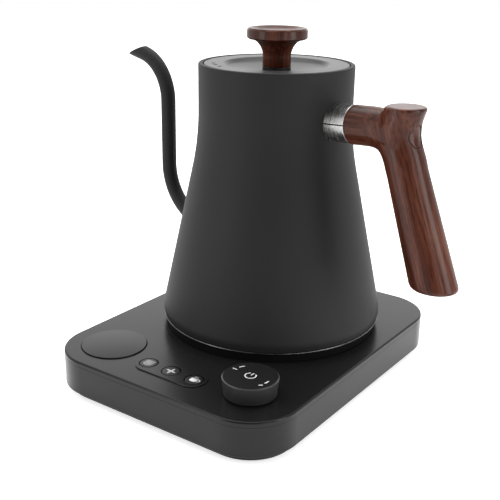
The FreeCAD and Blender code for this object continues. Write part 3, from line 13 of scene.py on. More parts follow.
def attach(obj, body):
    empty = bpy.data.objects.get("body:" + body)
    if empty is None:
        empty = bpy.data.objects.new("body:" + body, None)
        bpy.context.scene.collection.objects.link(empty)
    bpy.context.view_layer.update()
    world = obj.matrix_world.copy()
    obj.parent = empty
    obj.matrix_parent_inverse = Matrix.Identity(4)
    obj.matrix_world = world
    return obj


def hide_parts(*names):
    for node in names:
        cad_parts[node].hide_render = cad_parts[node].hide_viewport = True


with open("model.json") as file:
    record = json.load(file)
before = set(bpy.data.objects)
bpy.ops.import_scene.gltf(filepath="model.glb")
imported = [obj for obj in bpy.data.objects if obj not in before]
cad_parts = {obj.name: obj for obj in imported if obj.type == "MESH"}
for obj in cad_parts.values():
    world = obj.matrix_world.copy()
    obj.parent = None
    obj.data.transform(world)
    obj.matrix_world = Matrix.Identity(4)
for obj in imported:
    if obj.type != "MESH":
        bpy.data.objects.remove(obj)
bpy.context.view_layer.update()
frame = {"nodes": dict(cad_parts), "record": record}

# %% [markdown]
# A mesh can be thought of as a bent sheet of squared paper. If the points are held as a grid, its
# neighbours are the corners of the faces, so one helper turns any grid of points into a mesh.
# Sizes are written in millimetres, because that is how the object was measured, and scaled once here.

# %% From a grid of points to a mesh
MM = 0.001


def add_mesh(name, points, faces, body, stands_for=()):
    """Makes a smooth mesh object from points in millimetres and rides it on a body of the frame."""
    mesh = bpy.data.meshes.new(name)
    mesh.from_pydata((points * MM).tolist(), [], faces)
    mesh.validate()
    mesh.shade_smooth()
    piece = bpy.data.objects.new(name, mesh)
    bpy.context.scene.collection.objects.link(piece)
    if body:
        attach(piece, body)
    if stands_for:
        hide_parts(*stands_for)
    print(name, len(mesh.vertices), "points", len(mesh.polygons), "faces")
    return piece


def grid_faces(points, round_rows=False):
    """Faces between neighbours of a grid of points, (row, column, xyz); the columns run all the way round.
    A row whose points all meet is one corner, and the faces round it have three sides.
    The faces are turned outward when the volume they close comes out negative."""
    rows, columns = points.shape[:2]
    number = np.arange(rows * columns).reshape(rows, columns)
    met = np.ptp(points, axis=1).max(axis=1) < 1e-9
    number[met] = number[met, :1]
    if round_rows:
        number = np.vstack([number, number[:1]])
    number = np.hstack([number, number[:, :1]])
    around = [number[:-1, :-1], number[:-1, 1:], number[1:, 1:], number[1:, :-1]]
    quads = np.stack(around, -1).reshape(-1, 4)
    flat = points.reshape(-1, 3)
    a, b, c, d = (flat[quads[:, k]] for k in range(4))
    volume = np.einsum("ij,ij->i", a, np.cross(b, c) + np.cross(c, d)).sum()
    if volume < 0:
        quads = quads[:, ::-1]
    used, index = np.unique(quads, return_inverse=True)
    quads = index.reshape(-1, 4)
    same = quads == np.roll(quads, -1, axis=1)
    pinched = same.any(axis=1)
    faces = quads[~pinched].tolist()
    for quad, drops in zip(quads[pinched].tolist(), same[pinched]):
        faces.append([v for v, drop in zip(quad, drops) if not drop])
    return flat[used], faces


def softened(corners, steps=8):
    """A line through corners (x, z, radius): each corner is swapped for an arc of that radius.
    The arc starts radius * tan(turn / 2) before the corner and turns evenly until it is as far past it."""
    corners = np.array(corners, float)
    line = [corners[0, :2]]
    for before, here, after in zip(corners[:-2], corners[1:-1], corners[2:]):
        into = (here - before)[:2] / np.linalg.norm((here - before)[:2])
        out = (after - here)[:2] / np.linalg.norm((after - here)[:2])
        cross = into[0] * out[1] - into[1] * out[0]
        turn = np.arctan2(cross, into @ out)
        if here[2] == 0 or abs(turn) < 1e-6:
            line.append(here[:2])
            continue
        start = here[:2] - into * here[2] * np.tan(abs(turn) / 2)
        side = np.sign(turn) * np.array([-into[1], into[0]])
        angle = np.linspace(0, abs(turn), steps + 1)[:, None]
        line.extend(start + here[2] * (np.sin(angle) * into + (1 - np.cos(angle)) * side))
    line.append(corners[-1, :2])
    return np.array(line)


def turned(profile, segments=160):
    """Surface of revolution: a profile point (r, z) at angle a becomes (r cos a, r sin a, z)."""
    angle = np.linspace(0, 2 * np.pi, segments, endpoint=False)
    r, z = profile[:, :1], profile[:, 1:]
    return np.stack([r * np.cos(angle), r * np.sin(angle), z + 0 * angle], -1)


TURN = np.radians(-8)


def with_kettle(points, turn=TURN):
    """Turns points about the upright axis, as the kettle stands turned on its base."""
    x, y, z = points[..., 0], points[..., 1], points[..., 2]
    return np.stack([x * np.cos(turn) - y * np.sin(turn), x * np.sin(turn) + y * np.cos(turn), z], -1)


# %% [markdown]
# Finishes come next. An effect that several materials share is a node group: it puts out only a value
# that varies (a colour, a roughness, a height), and each material wires that into its own shader.
# A small helper adds nodes and links by name, so that each recipe reads like a list.

# %% Helpers for shader nodes
def add_node(tree, kind, **values):
    """Adds a node: settings by their own names, and inputs by 'in_' and the socket's name or number."""
    node = tree.nodes.new(kind)
    for key, value in values.items():
        if not key.startswith("in_"):
            setattr(node, key, value)
    for key, value in values.items():
        if key.startswith("in_"):
            name = key[3:].replace("_", " ")
            socket = node.inputs[int(name)] if name.isdigit() else node.inputs[name]
            if isinstance(value, bpy.types.NodeSocket):
                tree.links.new(value, socket)
            else:
                socket.default_value = value
    return node


FLOAT, VECTOR, COLOUR = "NodeSocketFloat", "NodeSocketVector", "NodeSocketColor"


def new_group(name, outputs, inputs=()):
    """An empty shader node group with named sockets; gives the tree, its inputs and its outputs."""
    tree = bpy.data.node_groups.new(name, "ShaderNodeTree")
    for label, kind in inputs:
        tree.interface.new_socket(label, in_out="INPUT", socket_type=kind)
    for label, kind in outputs:
        tree.interface.new_socket(label, in_out="OUTPUT", socket_type=kind)
    return tree, tree.nodes.new("NodeGroupInput"), tree.nodes.new("NodeGroupOutput")


def noise(tree, vector, scale, detail=3.0, roughness=0.5):
    """Noise value at a vector, with features about one over the scale across."""
    found = add_node(tree, "ShaderNodeTexNoise", in_Vector=vector, in_Scale=scale,
                     in_Detail=detail, in_Roughness=roughness)
    return found.outputs["Fac"]


def maths(tree, operation, a, b, c=0.0):
    """One step of arithmetic on one, two or three values."""
    return add_node(tree, "ShaderNodeMath", operation=operation, in_0=a, in_1=b, in_2=c).outputs[0]


def scaled(tree, colour, factor):
    """A colour times a number."""
    found = add_node(tree, "ShaderNodeVectorMath", operation="SCALE", in_0=colour, in_Scale=factor)
    return found.outputs[0]


def ramped(tree, value, start, stop, low, high):
    """A value eased from low to high while the given one goes from start to stop."""
    found = add_node(tree, "ShaderNodeMapRange", interpolation_type="SMOOTHSTEP",
                     in_Value=value, in_1=start, in_2=stop, in_3=low, in_4=high)
    return found.outputs["Result"]


def spread(tree, value, low, high, first=0.3, last=0.7):
    """Maps the range from first to last onto another; the usual two suit noise, which stays near 0.5."""
    found = add_node(tree, "ShaderNodeMapRange", in_Value=value, in_1=first, in_2=last, in_3=low, in_4=high)
    return found.outputs["Result"]


def stretched(tree, vector, scale):
    """A vector with its parts scaled: a small last part draws the pattern out along that axis."""
    return add_node(tree, "ShaderNodeVectorMath", operation="MULTIPLY", in_0=vector, in_1=scale).outputs[0]


# %% [markdown]
# Powder coat is sprayed as dust and baked, so it has a fine orange-peel skin and a sheen that wanders
# a little. Two noises do this: a fine one for the skin's height, a broad one for shade and roughness.

# %% Node group for coated and moulded surfaces
def coat_group():
    """Grain height, shade factor and roughness of a sprayed or moulded surface."""
    tree, source, sink = new_group(
        "coat", [("Shade", FLOAT), ("Roughness", FLOAT), ("Height", FLOAT)],
        [("Grain", FLOAT), ("Roughness", FLOAT)])
    place = add_node(tree, "ShaderNodeTexCoord").outputs["Object"]
    fine = noise(tree, place, source.outputs["Grain"], 2.0)
    broad = noise(tree, place, 14.0, 4.0)
    tree.links.new(spread(tree, broad, 0.9, 1.1), sink.inputs["Shade"])
    wander = maths(tree, "MULTIPLY", source.outputs["Roughness"], spread(tree, broad, 0.94, 1.06))
    tree.links.new(wander, sink.inputs["Roughness"])
    tree.links.new(fine, sink.inputs["Height"])
    return tree


COAT = coat_group()


def new_material(name, **sockets):
    """A material with one Principled shader; sockets by name, with underscores for spaces."""
    material = bpy.data.materials.new(name)
    material.use_nodes = True
    shader = material.node_tree.nodes["Principled BSDF"]
    for key, value in sockets.items():
        shader.inputs[key.replace("_", " ")].default_value = value
    return material, material.node_tree, shader


def bumped(tree, shader, height, strength, depth):
    """Lets a height between 0 and 1 tilt the shading, as relief of the given depth in metres would."""
    relief = add_node(tree, "ShaderNodeBump", in_Strength=strength, in_Distance=depth, in_Height=height)
    tree.links.new(relief.outputs[0], shader.inputs["Normal"])


def coated(name, shade, roughness, grain=1400.0, bump=0.06, gloss=0.5, **sockets):
    """A coated or moulded material: one shade, varied by the coat group; gloss is its mirror level."""
    material, tree, shader = new_material(name, Specular_IOR_Level=gloss, **sockets)
    coat = add_node(tree, "ShaderNodeGroup", node_tree=COAT, in_Grain=grain, in_Roughness=roughness)
    tree.links.new(scaled(tree, shade, coat.outputs["Shade"]), shader.inputs["Base Color"])
    tree.links.new(coat.outputs["Roughness"], shader.inputs["Roughness"])
    bumped(tree, shader, coat.outputs["Height"], bump, 0.2 * MM)
    return material


# %% [markdown]
# Wood is a bundle of fibres. Each wooden piece carries its own grain coordinates as a point attribute,
# with the last part along the fibres, so streaks follow the carving instead of the room.
# Broad bands give the growth rings, long thin noise the fibres, and short dark dashes the open pores.

# %% Node group for the wood
WOOD_STOPS = [(0.34, (0.022, 0.0050, 0.0028)), (0.46, (0.058, 0.0148, 0.0078)),
              (0.54, (0.090, 0.0255, 0.0140)), (0.66, (0.145, 0.0490, 0.0285))]


def wood_group():
    """Colour, roughness and height of dark red-brown wood, from grain coordinates in metres."""
    tree, source, sink = new_group(
        "wood", [("Color", COLOUR), ("Roughness", FLOAT), ("Height", FLOAT)],
        [("Grain", VECTOR), ("Tone", FLOAT)])
    grain = source.outputs["Grain"]
    rings = noise(tree, stretched(tree, grain, (1.0, 1.0, 0.10)), 150.0, 3.0, 0.55)
    fibres = noise(tree, stretched(tree, grain, (1.0, 1.0, 0.045)), 900.0, 4.0, 0.6)
    pores = noise(tree, stretched(tree, grain, (1.0, 1.0, 0.06)), 2600.0, 1.0)
    both = maths(tree, "MULTIPLY_ADD", fibres, 0.5, maths(tree, "MULTIPLY", rings, 0.5))
    ramp = add_node(tree, "ShaderNodeValToRGB", in_Fac=both)
    elements = ramp.color_ramp.elements
    elements[0].position, elements[1].position = WOOD_STOPS[0][0], WOOD_STOPS[-1][0]
    for place, shade in WOOD_STOPS[1:-1]:
        elements.new(place)
    for element, (place, shade) in zip(elements, WOOD_STOPS):
        element.color = (*shade, 1.0)
    dash = spread(tree, pores, 0.55, 1.0, 0.30, 0.42)
    depth = maths(tree, "MULTIPLY", dash, source.outputs["Tone"])
    tree.links.new(scaled(tree, ramp.outputs["Color"], depth), sink.inputs["Color"])
    tree.links.new(spread(tree, fibres, 0.34, 0.46), sink.inputs["Roughness"])
    tree.links.new(dash, sink.inputs["Height"])
    return tree


WOOD = wood_group()


def wooden(name, tone, lacquer, bump=0.10):
    """Satin-lacquered wood: the group's colour, made darker by the tone, under a thin clear coat."""
    material, tree, shader = new_material(
        name, Coat_Weight=lacquer, Coat_Roughness=0.21, Coat_IOR=1.5, Specular_IOR_Level=0.04)
    grain = add_node(tree, "ShaderNodeAttribute", attribute_name="grain")
    wood = add_node(tree, "ShaderNodeGroup", node_tree=WOOD, in_Grain=grain.outputs["Vector"], in_Tone=tone)
    tree.links.new(wood.outputs["Color"], shader.inputs["Base Color"])
    tree.links.new(wood.outputs["Roughness"], shader.inputs["Roughness"])
    bumped(tree, shader, wood.outputs["Height"], bump, 0.1 * MM)
    return material


def set_grain(piece, grain):
    """Stores grain coordinates, given in millimetres, on a piece's points."""
    store = piece.data.attributes.new("grain", "FLOAT_VECTOR", "POINT")
    store.data.foreach_set("vector", (grain * MM).astype(np.float32).ravel())


# %% [markdown]
# Brushed metal has fine scratches along one direction. The same noise, stretched along the lay of the
# scratches, varies the roughness and the height; cast and stamped metals use it with less stretch.

# %% Node group for metals
def scratch_group():
    """Roughness and height of scratched metal; Lay scales the place, so that scratches run one way."""
    tree, source, sink = new_group(
        "scratches", [("Roughness", FLOAT), ("Height", FLOAT), ("Shade", FLOAT)],
        [("Lay", VECTOR), ("Roughness", FLOAT)])
    place = add_node(tree, "ShaderNodeTexCoord").outputs["Object"]
    lines = noise(tree, stretched(tree, place, source.outputs["Lay"]), 1800.0, 3.0)
    clouds = noise(tree, place, 160.0, 3.0)
    wander = maths(tree, "MULTIPLY", source.outputs["Roughness"], spread(tree, lines, 0.75, 1.3))
    tree.links.new(wander, sink.inputs["Roughness"])
    tree.links.new(lines, sink.inputs["Height"])
    tree.links.new(spread(tree, clouds, 0.8, 1.1), sink.inputs["Shade"])
    return tree


SCRATCH = scratch_group()


def metal(name, shade, roughness, lay=(1.0, 1.0, 1.0), bump=0.05):
    """A bare metal with scratches along its lay."""
    material, tree, shader = new_material(name, Metallic=1.0)
    marks = add_node(tree, "ShaderNodeGroup", node_tree=SCRATCH, in_Lay=lay, in_Roughness=roughness)
    tree.links.new(scaled(tree, shade, marks.outputs["Shade"]), shader.inputs["Base Color"])
    tree.links.new(marks.outputs["Roughness"], shader.inputs["Roughness"])
    bumped(tree, shader, marks.outputs["Height"], bump, 0.1 * MM)
    return material


# %% [markdown]
# Each slot of the record gets its finish here, and every node of the frame takes the finish of its slot.
# The bottom cap is an exception: its duller, darker black is painted shade, for the kettle's shadow over it.

# %% One finish for each slot
FINISH = {
    "black_steel": coated("black_steel", (0.0145, 0.0145, 0.0150), 0.58, gloss=0.22),
    "base_black": coated("base_black", (0.0085, 0.0085, 0.0088), 0.26, 1800.0, 0.03, gloss=0.225),
    "lid_black": coated("lid_black", (0.0152, 0.0152, 0.0157), 0.38, gloss=0.355),
    # painted shade: this darkest black stands in for the kettle's shadow on the bottom cap; the sleeve's dark
    # joint uses it too
    "shade_and_joint_black": coated("shade_and_joint_black", (0.003, 0.003, 0.003), 0.6, 2200.0, 0.08, gloss=0.08),
    "dial_side": coated("dial_side", (0.018, 0.018, 0.0184), 0.45, 2400.0, 0.04, gloss=0.3),
    # painted highlight: a lighter grey on the dial's chamfer stands in for the light it catches
    "dial_painted_highlight": coated("dial_painted_highlight", (0.038, 0.038, 0.039), 0.30, 2400.0, 0.02, gloss=0.5),
    "black_plastic": coated("black_plastic", (0.007, 0.007, 0.007), 0.42, 2200.0, 0.08, gloss=0.25),
    "control_black": coated("control_black", (0.008, 0.008, 0.0084), 0.36, 2400.0, 0.04, gloss=0.3),
    "lens": coated("lens", (0.010, 0.010, 0.0104), 0.25, 2400.0, 0.02, gloss=0.21),
    "wood": wooden("wood", 1.0, 0.42),
    "knob_wood": wooden("knob_wood", 0.88, 0.36),
    "ferrule_steel": metal("ferrule_steel", (0.49, 0.486, 0.478), 0.27, (1.0, 0.06, 0.06), 0.0),
    "hem_steel": metal("hem_steel", (0.17, 0.17, 0.17), 0.28, (0.2, 0.2, 1.0)),
    "steel": metal("steel", (0.56, 0.56, 0.56), 0.30, (0.2, 0.2, 1.0)),
    "aluminium": metal("aluminium", (0.70, 0.71, 0.72), 0.38),
    "brass": metal("brass", (0.72, 0.52, 0.22), 0.28),
    "rubber": coated("rubber", (0.018, 0.018, 0.018), 0.75, 1600.0, 0.15),
    "silicone": coated("silicone", (0.42, 0.42, 0.41), 0.55, 1200.0, 0.05, Subsurface_Weight=0.2),
    "acetal": coated("acetal", (0.60, 0.60, 0.58), 0.45, 1200.0, 0.04),
    "board": coated("board", (0.010, 0.085, 0.035), 0.40, 900.0, 0.05),
    "component": coated("component", (0.030, 0.030, 0.032), 0.50, 1500.0, 0.06),
}
slot_of = {part["node"]: part["material_slot"] for part in frame["record"]["subparts"]}


def paint(piece, finish):
    """Gives a piece one finish on all its faces."""
    piece.data.materials.clear()
    piece.data.materials.append(FINISH[finish])
    piece.data.polygons.foreach_set("material_index", np.zeros(len(piece.data.polygons), np.int32))


for name, node in frame["nodes"].items():
    paint(node, slot_of[name])
# painted shade: the bottom cap is coloured darker because it lies in the kettle's shadow
paint(frame["nodes"]["bottom_cap"], "shade_and_joint_black")
print(len(slot_of), "nodes painted with", len(FINISH), "finishes")

# %% [markdown]
# The dial has three finishes: a satin side, a chamfer painted lighter as a painted highlight, and a dark top.
# How far a face looks up tells which it is, so the faces are sorted by the height of their normals.

# %% Three finishes on the dial
SIDE_ENDS, TOP_STARTS = 0.3, 0.9


def face_values(piece, what):
    """A three-part value of every face of a piece, such as its normal or its center, one row each."""
    values = np.zeros(len(piece.data.polygons) * 3, np.float32)
    piece.data.polygons.foreach_get(what, values)
    return values.reshape(-1, 3)


def set_finishes(piece, names, index):
    """Adds finishes after a piece's first one, and gives each face the finish that its index says."""
    for name in names:
        piece.data.materials.append(FINISH[name])
    piece.data.polygons.foreach_set("material_index", index.astype(np.int32))


dial = frame["nodes"]["dial_knob"]
paint(dial, "dial_side")
zone = np.digitize(face_values(dial, "normal")[:, 2], [SIDE_ENDS, TOP_STARTS])
# the chamfer's faces get the lighter grey of the painted highlight
set_finishes(dial, ["dial_painted_highlight", "control_black"], zone)
print("faces of the dial's side, chamfer and top:", np.bincount(zone))

# %% [markdown]
# The steel shell is one turned surface, like clay on a wheel: a closed profile goes up the outside,
# over the rolled rim and down the inside, so the shell has a real thickness and a real mouth.
# The long curve between cone and neck is a single large arc. Under its lower edge sits a thin hem of bare,
# polished steel, a ring of round wire that shows as one bright line above the dark bottom cap.

# %% Steel shell
FINE = 240
OUTSIDE = [(60.9, 28.7, 0), (61.5, 28.7, 0.3), (62.1, 32.6, 9.0), (41.6, 128.6, 150), (41.6, 168.8, 0.8)]
RIM = [(39.1, 168.8, 0.5), (39.1, 162.6, 0.4), (40.7, 161.0, 0.4)]
INSIDE = [(40.7, 128.0, 149), (60.7, 32.6, 9.0), (60.6, 29.2, 0)]
points, faces = grid_faces(turned(softened(OUTSIDE + RIM + INSIDE, 14), FINE), round_rows=True)
shell = add_mesh("steel_shell", points, faces, "kettle", ["kettle_body"])
paint(shell, "black_steel")

HEM_RADIUS, HEM_HEIGHT, HEM_WIRE = 61.4, 28.2, 0.32
around = np.linspace(0, 2 * np.pi, 16, endpoint=False)
wire = np.stack([HEM_RADIUS + HEM_WIRE * np.cos(around), HEM_HEIGHT + HEM_WIRE * np.sin(around)], -1)
points, faces = grid_faces(turned(wire, FINE), round_rows=True)
hem = add_mesh("bright_hem", points, faces, "kettle")
paint(hem, "hem_steel")

# %% [markdown]
# The spout is a tube swept along a line of straights and arcs. At each step a ring of points stands
# square to the line; the outer wall runs to the tip and the inner wall runs back, so the end is open.
# The tip is cut on a slant: along the last straight, each point of the ring goes its own share of the way.

# %% Swan-neck spout
LOW_CENTRE, LOW_RADIUS = (-56.1, 98.8), 31.5
HIGH_CENTRE, HIGH_RADIUS, HIGH_TURN = (-114.6, 137.4), 27.0, np.radians(77.9)
ROOT = [(-47.0, 67.3), (-52.0, 67.3)]
TIP_ROWS = 9


def spout_line():
    """Points (x, z) and headings of the spout's middle line, and the share covered of the last straight."""
    bend, over = np.linspace(0, np.pi / 2, 30), np.linspace(0, HIGH_TURN, 30)
    low = np.array(LOW_CENTRE) - LOW_RADIUS * np.stack([np.sin(bend), np.cos(bend)], -1)
    high = np.array(HIGH_CENTRE) + HIGH_RADIUS * np.stack([np.cos(over), np.sin(over)], -1)
    place = np.vstack([ROOT, low, high, np.tile(high[-1], (TIP_ROWS, 1))])
    last = np.full(TIP_ROWS, np.pi / 2 + HIGH_TURN)
    heading = np.concatenate([[np.pi, np.pi], np.pi - bend, np.pi / 2 + over, last])
    share = np.concatenate([np.zeros(len(place) - TIP_ROWS), np.linspace(0, 1, TIP_ROWS + 1)[1:]])
    return place, heading, share


def spout_wall(radius, segments=48, length=12.5, least=0.25):
    """Rings round the middle line: middle + radius * (across cos a + upward sin a), pushed along the
    heading by the slanted cut, which lets the lower wall run its full length and the upper almost none.
    A short swell of the radius at the root stands for the weld."""
    place, heading, share = spout_line()
    angle = np.linspace(0, 2 * np.pi, segments, endpoint=False)
    swell = radius + 0.9 * np.exp(-((np.arange(len(place)) - len(ROOT)) / 1.6) ** 2)
    up = np.stack([np.sin(heading), -np.cos(heading)], -1)
    reach = least + (length - least) * (1 - np.sin(angle)) / 2
    ahead = share[:, None] * reach
    lift = swell[:, None] * np.sin(angle)
    x = place[:, :1] + up[:, :1] * lift + np.cos(heading)[:, None] * ahead
    z = place[:, 1:] + up[:, 1:] * lift + np.sin(heading)[:, None] * ahead
    return np.stack([x, swell[:, None] * np.cos(angle), z], -1)


SPOUT_RADIUS, SHEET = 4.42, 0.8
outer, inner = spout_wall(SPOUT_RADIUS), spout_wall(SPOUT_RADIUS - SHEET)
points, faces = grid_faces(with_kettle(np.vstack([outer, inner[::-1]])), round_rows=True)
spout = add_mesh("swan_neck", points, faces, "kettle", ["spout"])
paint(spout, "black_steel")

# %% [markdown]
# The handle is carved from one block, so its parts melt into each other: a surface made of simple solids
# that are blended. Each solid is a distance field (negative inside), a soft minimum joins the fields, and
# a skin is laid where the result is zero. One pass then slides every point exactly onto the surface.

# %% Distance fields for the handle
NECK_RADIUS = 41.5
ARM_START, ARM_RISE, ARM_LENGTH = np.array([NECK_RADIUS, 143.0]), np.radians(3.5), 37.65
ARM = np.array([np.cos(ARM_RISE), np.sin(ARM_RISE)])
CORNER = ARM_START + ARM_LENGTH * ARM
LEAN, GRIP_LENGTH = np.radians(20.4), 79.7
DOWN = np.array([np.sin(LEAN), -np.cos(LEAN)])
FOOT = CORNER + GRIP_LENGTH * DOWN - np.array([0.3, 0.0])
FOOT_RADIUS, GRIP_TAPER, GRIP_SPAN, GRIP_TOP = 11.6, 2.1, 79.3, 82
HEAD_SHIFT, HEAD_RISE = 3.73, 11
ELBOW = 23


def rod(p, start, along, low, high, radius_low, radius_high, edge):
    """Distance to a straight or tapered rod with rounded ends, from s = low to s = high along its axis."""
    x, z = p[..., 0] - start[0], p[..., 2] - start[1]
    s = x * along[0] + z * along[1]
    side = np.sqrt((x * along[1] - z * along[0]) ** 2 + p[..., 1] ** 2)
    radius = radius_low + (radius_high - radius_low) * (s - low) / (high - low)
    a, b = side - radius + edge, np.abs(s - (low + high) / 2) - (high - low) / 2 + edge
    return np.minimum(np.maximum(a, b), 0) + np.hypot(np.maximum(a, 0), np.maximum(b, 0)) - edge


def melted(a, b, soft):
    """Smooth minimum: the smaller field, lowered by up to soft / 4 where the two are close."""
    near = np.maximum(soft - np.abs(a - b), 0) / soft
    return np.minimum(a, b) - near * near * soft / 4


def stump(p, edge, soft=0.9):
    """Distance to the grip: a tapered rod that leans outward and is cut off level, with a bevelled rim."""
    x, z = p[..., 0] - FOOT[0], p[..., 2] - FOOT[1]
    s = -(x * DOWN[0] + z * DOWN[1])
    side = np.sqrt((x * DOWN[1] - z * DOWN[0]) ** 2 + p[..., 1] ** 2)
    a, b = side - (FOOT_RADIUS - GRIP_TAPER * s / GRIP_SPAN), np.maximum(-z, s - GRIP_TOP)
    bevel = (a - z) / np.sqrt(2) + edge
    return -melted(-np.maximum(a, b), -bevel, soft)


def bend(p, centre, radius, start, stop, thick):
    """Distance to an arc of round rod in the plane y = 0, between two angles about its centre."""
    angle = np.clip(np.arctan2(p[..., 2] - centre[1], p[..., 0] - centre[0]), start, stop)
    x, z = centre[0] + radius * np.cos(angle), centre[1] + radius * np.sin(angle)
    return np.sqrt((p[..., 0] - x) ** 2 + p[..., 1] ** 2 + (p[..., 2] - z) ** 2) - thick


def sheared(p, low, high, radius, edge):
    """Distance to the head: a round pillar that leans outward while its flat top stays level.
    The lean stretches the field sideways, so the sideways part is drawn in by about its cosine."""
    x = p[..., 0] - CORNER[0] - HEAD_SHIFT * (p[..., 2] - CORNER[1]) / HEAD_RISE
    a = (np.hypot(x, p[..., 1]) - radius) * 0.94 + edge
    b = np.abs(p[..., 2] - CORNER[1] - (low + high) / 2) - (high - low) / 2 + edge
    return np.minimum(np.maximum(a, b), 0) + np.hypot(np.maximum(a, 0), np.maximum(b, 0)) - edge


BOLT_RISE = np.radians(0.4)
BOLT = np.array([np.cos(BOLT_RISE), np.sin(BOLT_RISE)])
SLEEVE_END, HOLE_RADIUS, PLUG_RADIUS = 11.9, 5.45, 5.32


def block_field(p):
    """Field of the handle before boring: arm, underarm bend and grip melted together, with the head on.
    The blend under the head is tight on the arm's side and wide on the outside."""
    arm = rod(p, ARM_START, ARM, SLEEVE_END, 40, radius_low=10.05, radius_high=9.2, edge=0.45)
    grip = stump(p, edge=0.9)
    reach = ELBOW * np.tan((np.pi / 2 + ARM_RISE - LEAN) / 2)
    centre = CORNER - reach * ARM + ELBOW * np.array([ARM[1], -ARM[0]])
    elbow = bend(p, centre, ELBOW, LEAN, np.pi / 2 + ARM_RISE, thick=9.0)
    head = sheared(p, low=-6, high=11.55, radius=10.2, edge=1.6)
    lower = melted(melted(arm, elbow, 2.0), grip, 2.5)
    ramp = np.clip((p[..., 0] - CORNER[0] + 3) / 10, 0, 1)
    return melted(lower, head, 0.9 + 3.6 * ramp * ramp * (3 - 2 * ramp))


def carved(p):
    """Field of the handle with the plug's hole bored into it; the hole's mouth is slightly softened."""
    hole = rod(p, ARM_START, BOLT, 38.0, 80.0, HOLE_RADIUS, HOLE_RADIUS, edge=0.1)
    return -melted(-block_field(p), hole, 0.5)


def plugged(p):
    """Field of the plug: a short rod in the hole, its face sanded to the grip's own curve, a little lower."""
    plug = rod(p, ARM_START, BOLT, 41.55, 80.0, PLUG_RADIUS, PLUG_RADIUS, edge=0.2)
    return -melted(-plug, -(block_field(p) + 0.5), 0.5)


# %% [markdown]
# Laying the skin is a known trick called surface nets. Space is cut into half-millimetre cells; a cell
# whose corners lie on both sides of the surface gets one point, at the mean of its edge crossings, and
# each crossed grid line gets a four-sided face between the four cells around it.

# %% Skin of a distance field
def skin(field, low, high, step):
    """Points and faces where the field is zero, on a grid of cells of one step, all in whole arrays."""
    axes = [np.arange(low[k], high[k] + step, step) for k in range(3)]
    value = field(np.stack(np.meshgrid(*axes, indexing="ij"), -1)).astype(np.float32)
    shape = np.array(value.shape)
    inside = value < 0
    corners = np.array([(i, j, k) for i in (0, 1) for j in (0, 1) for k in (0, 1)])
    a, b, c = shape - 1
    count = sum(inside[i:a + i, j:b + j, k:c + k].astype(np.int8) for i, j, k in corners)
    cell = np.argwhere((count > 0) & (count < 8))
    number = np.full(shape - 1, -1)
    number[tuple(cell.T)] = np.arange(len(cell))
    total, hits = np.zeros((len(cell), 3)), np.zeros(len(cell))
    for a in corners:
        for b in corners[(corners - a).sum(axis=1) == 1]:
            if np.abs(b - a).sum() != 1:
                continue
            first, second = value[tuple((cell + a).T)], value[tuple((cell + b).T)]
            crossed = (first < 0) != (second < 0)
            part = np.where(crossed, first / np.where(crossed, first - second, 1), 0)
            total += np.where(crossed[:, None], a + part[:, None] * (b - a), 0)
            hits += crossed
    points = low + step * (cell + total / hits[:, None])
    faces = []
    for axis in range(3):
        one, two = np.eye(3, dtype=int)[(axis + 1) % 3], np.eye(3, dtype=int)[(axis + 2) % 3]
        here = np.take(inside, np.arange(shape[axis] - 1), axis)
        there = np.take(inside, np.arange(1, shape[axis]), axis)
        edge = np.argwhere(here != there)
        ring = [number[tuple((edge - one * i - two * j).T)] for i, j in ((0, 0), (1, 0), (1, 1), (0, 1))]
        quads = np.stack(ring, -1)
        out = here[tuple(edge.T)]
        faces.append(np.where(out[:, None], quads, quads[:, ::-1]))
    return points, np.vstack(faces)


def slope(field, points, small=0.02):
    """Gradient of a field by central differences."""
    moves = np.eye(3) * small
    return np.stack([(field(points + m) - field(points - m)) / (2 * small) for m in moves], -1)


def laid_skin(field, low, high, step):
    """The skin of a field, with its points then slid along the slope onto the exact surface."""
    points, faces = skin(field, np.array(low), np.array(high), step)
    for settle in range(3):
        g = slope(field, points)
        points = points - field(points)[:, None] * g / np.maximum((g * g).sum(axis=1), 0.2)[:, None]
    return points, faces.tolist()


handle_points, faces = laid_skin(carved, (50.0, -13.0, 64.0), (124.0, 13.0, 160.0), 0.5)
handle = add_mesh("carved_handle", with_kettle(handle_points), faces, "kettle", ["handle"])
paint(handle, "wood")
plug_points, faces = laid_skin(plugged, (80.0, -7.0, 135.0), (96.0, 7.0, 152.0), 0.25)
plug = add_mesh("wooden_plug", with_kettle(plug_points), faces, "kettle", ["handle_plug"])
paint(plug, "wood")

# %% [markdown]
# The fibres run down the grip and along the arm. Each point gets coordinates in both directions, and
# the two are mixed over a few millimetres near the bend, which draws the streaks round the corner.

# %% Grain of the handle
def along(points, start, axis):
    """Coordinates of points about an axis in the plane y = 0: across, sideways and along."""
    x, z = points[:, 0] - start[0], points[:, 2] - start[1]
    return np.stack([x * axis[1] - z * axis[0], points[:, 1], x * axis[0] + z * axis[1]], -1)


BEND_BEFORE, BEND_LEAN, BEND_WIDTH = 14, 0.25, 6
past_bend = handle_points[:, 0] - CORNER[0] + BEND_BEFORE - BEND_LEAN * (CORNER[1] - handle_points[:, 2])
mix = np.clip(past_bend / BEND_WIDTH, 0, 1)[:, None]
on_arm, on_grip = along(handle_points, ARM_START, ARM), along(handle_points, FOOT, -DOWN)
set_grain(handle, (1 - mix) * on_arm + mix * on_grip)
print("points of the handle with the grip's grain:", int((mix > 0.5).sum()))
set_grain(plug, along(plug_points, FOOT, -DOWN) + np.array([30.0, 0.0, 0.0]))

# %% [markdown]
# The sleeve between neck and wood is rolled from bright sheet: its butt joint shows as one thin dark line.
# It is a grid over angle and length, with extra columns at the joint, where the radius dips and the faces
# are painted dark. Its inner end follows the round neck, so that no gap opens between the two.

# %% Steel sleeve of the handle
JOINT, JOINT_DIP, JOINT_REACH = 0.07, 0.35, 0.03
SLEEVE_OUTER, SLEEVE_EDGE, SLEEVE_INNER = 9.8, 9.62, 8.3


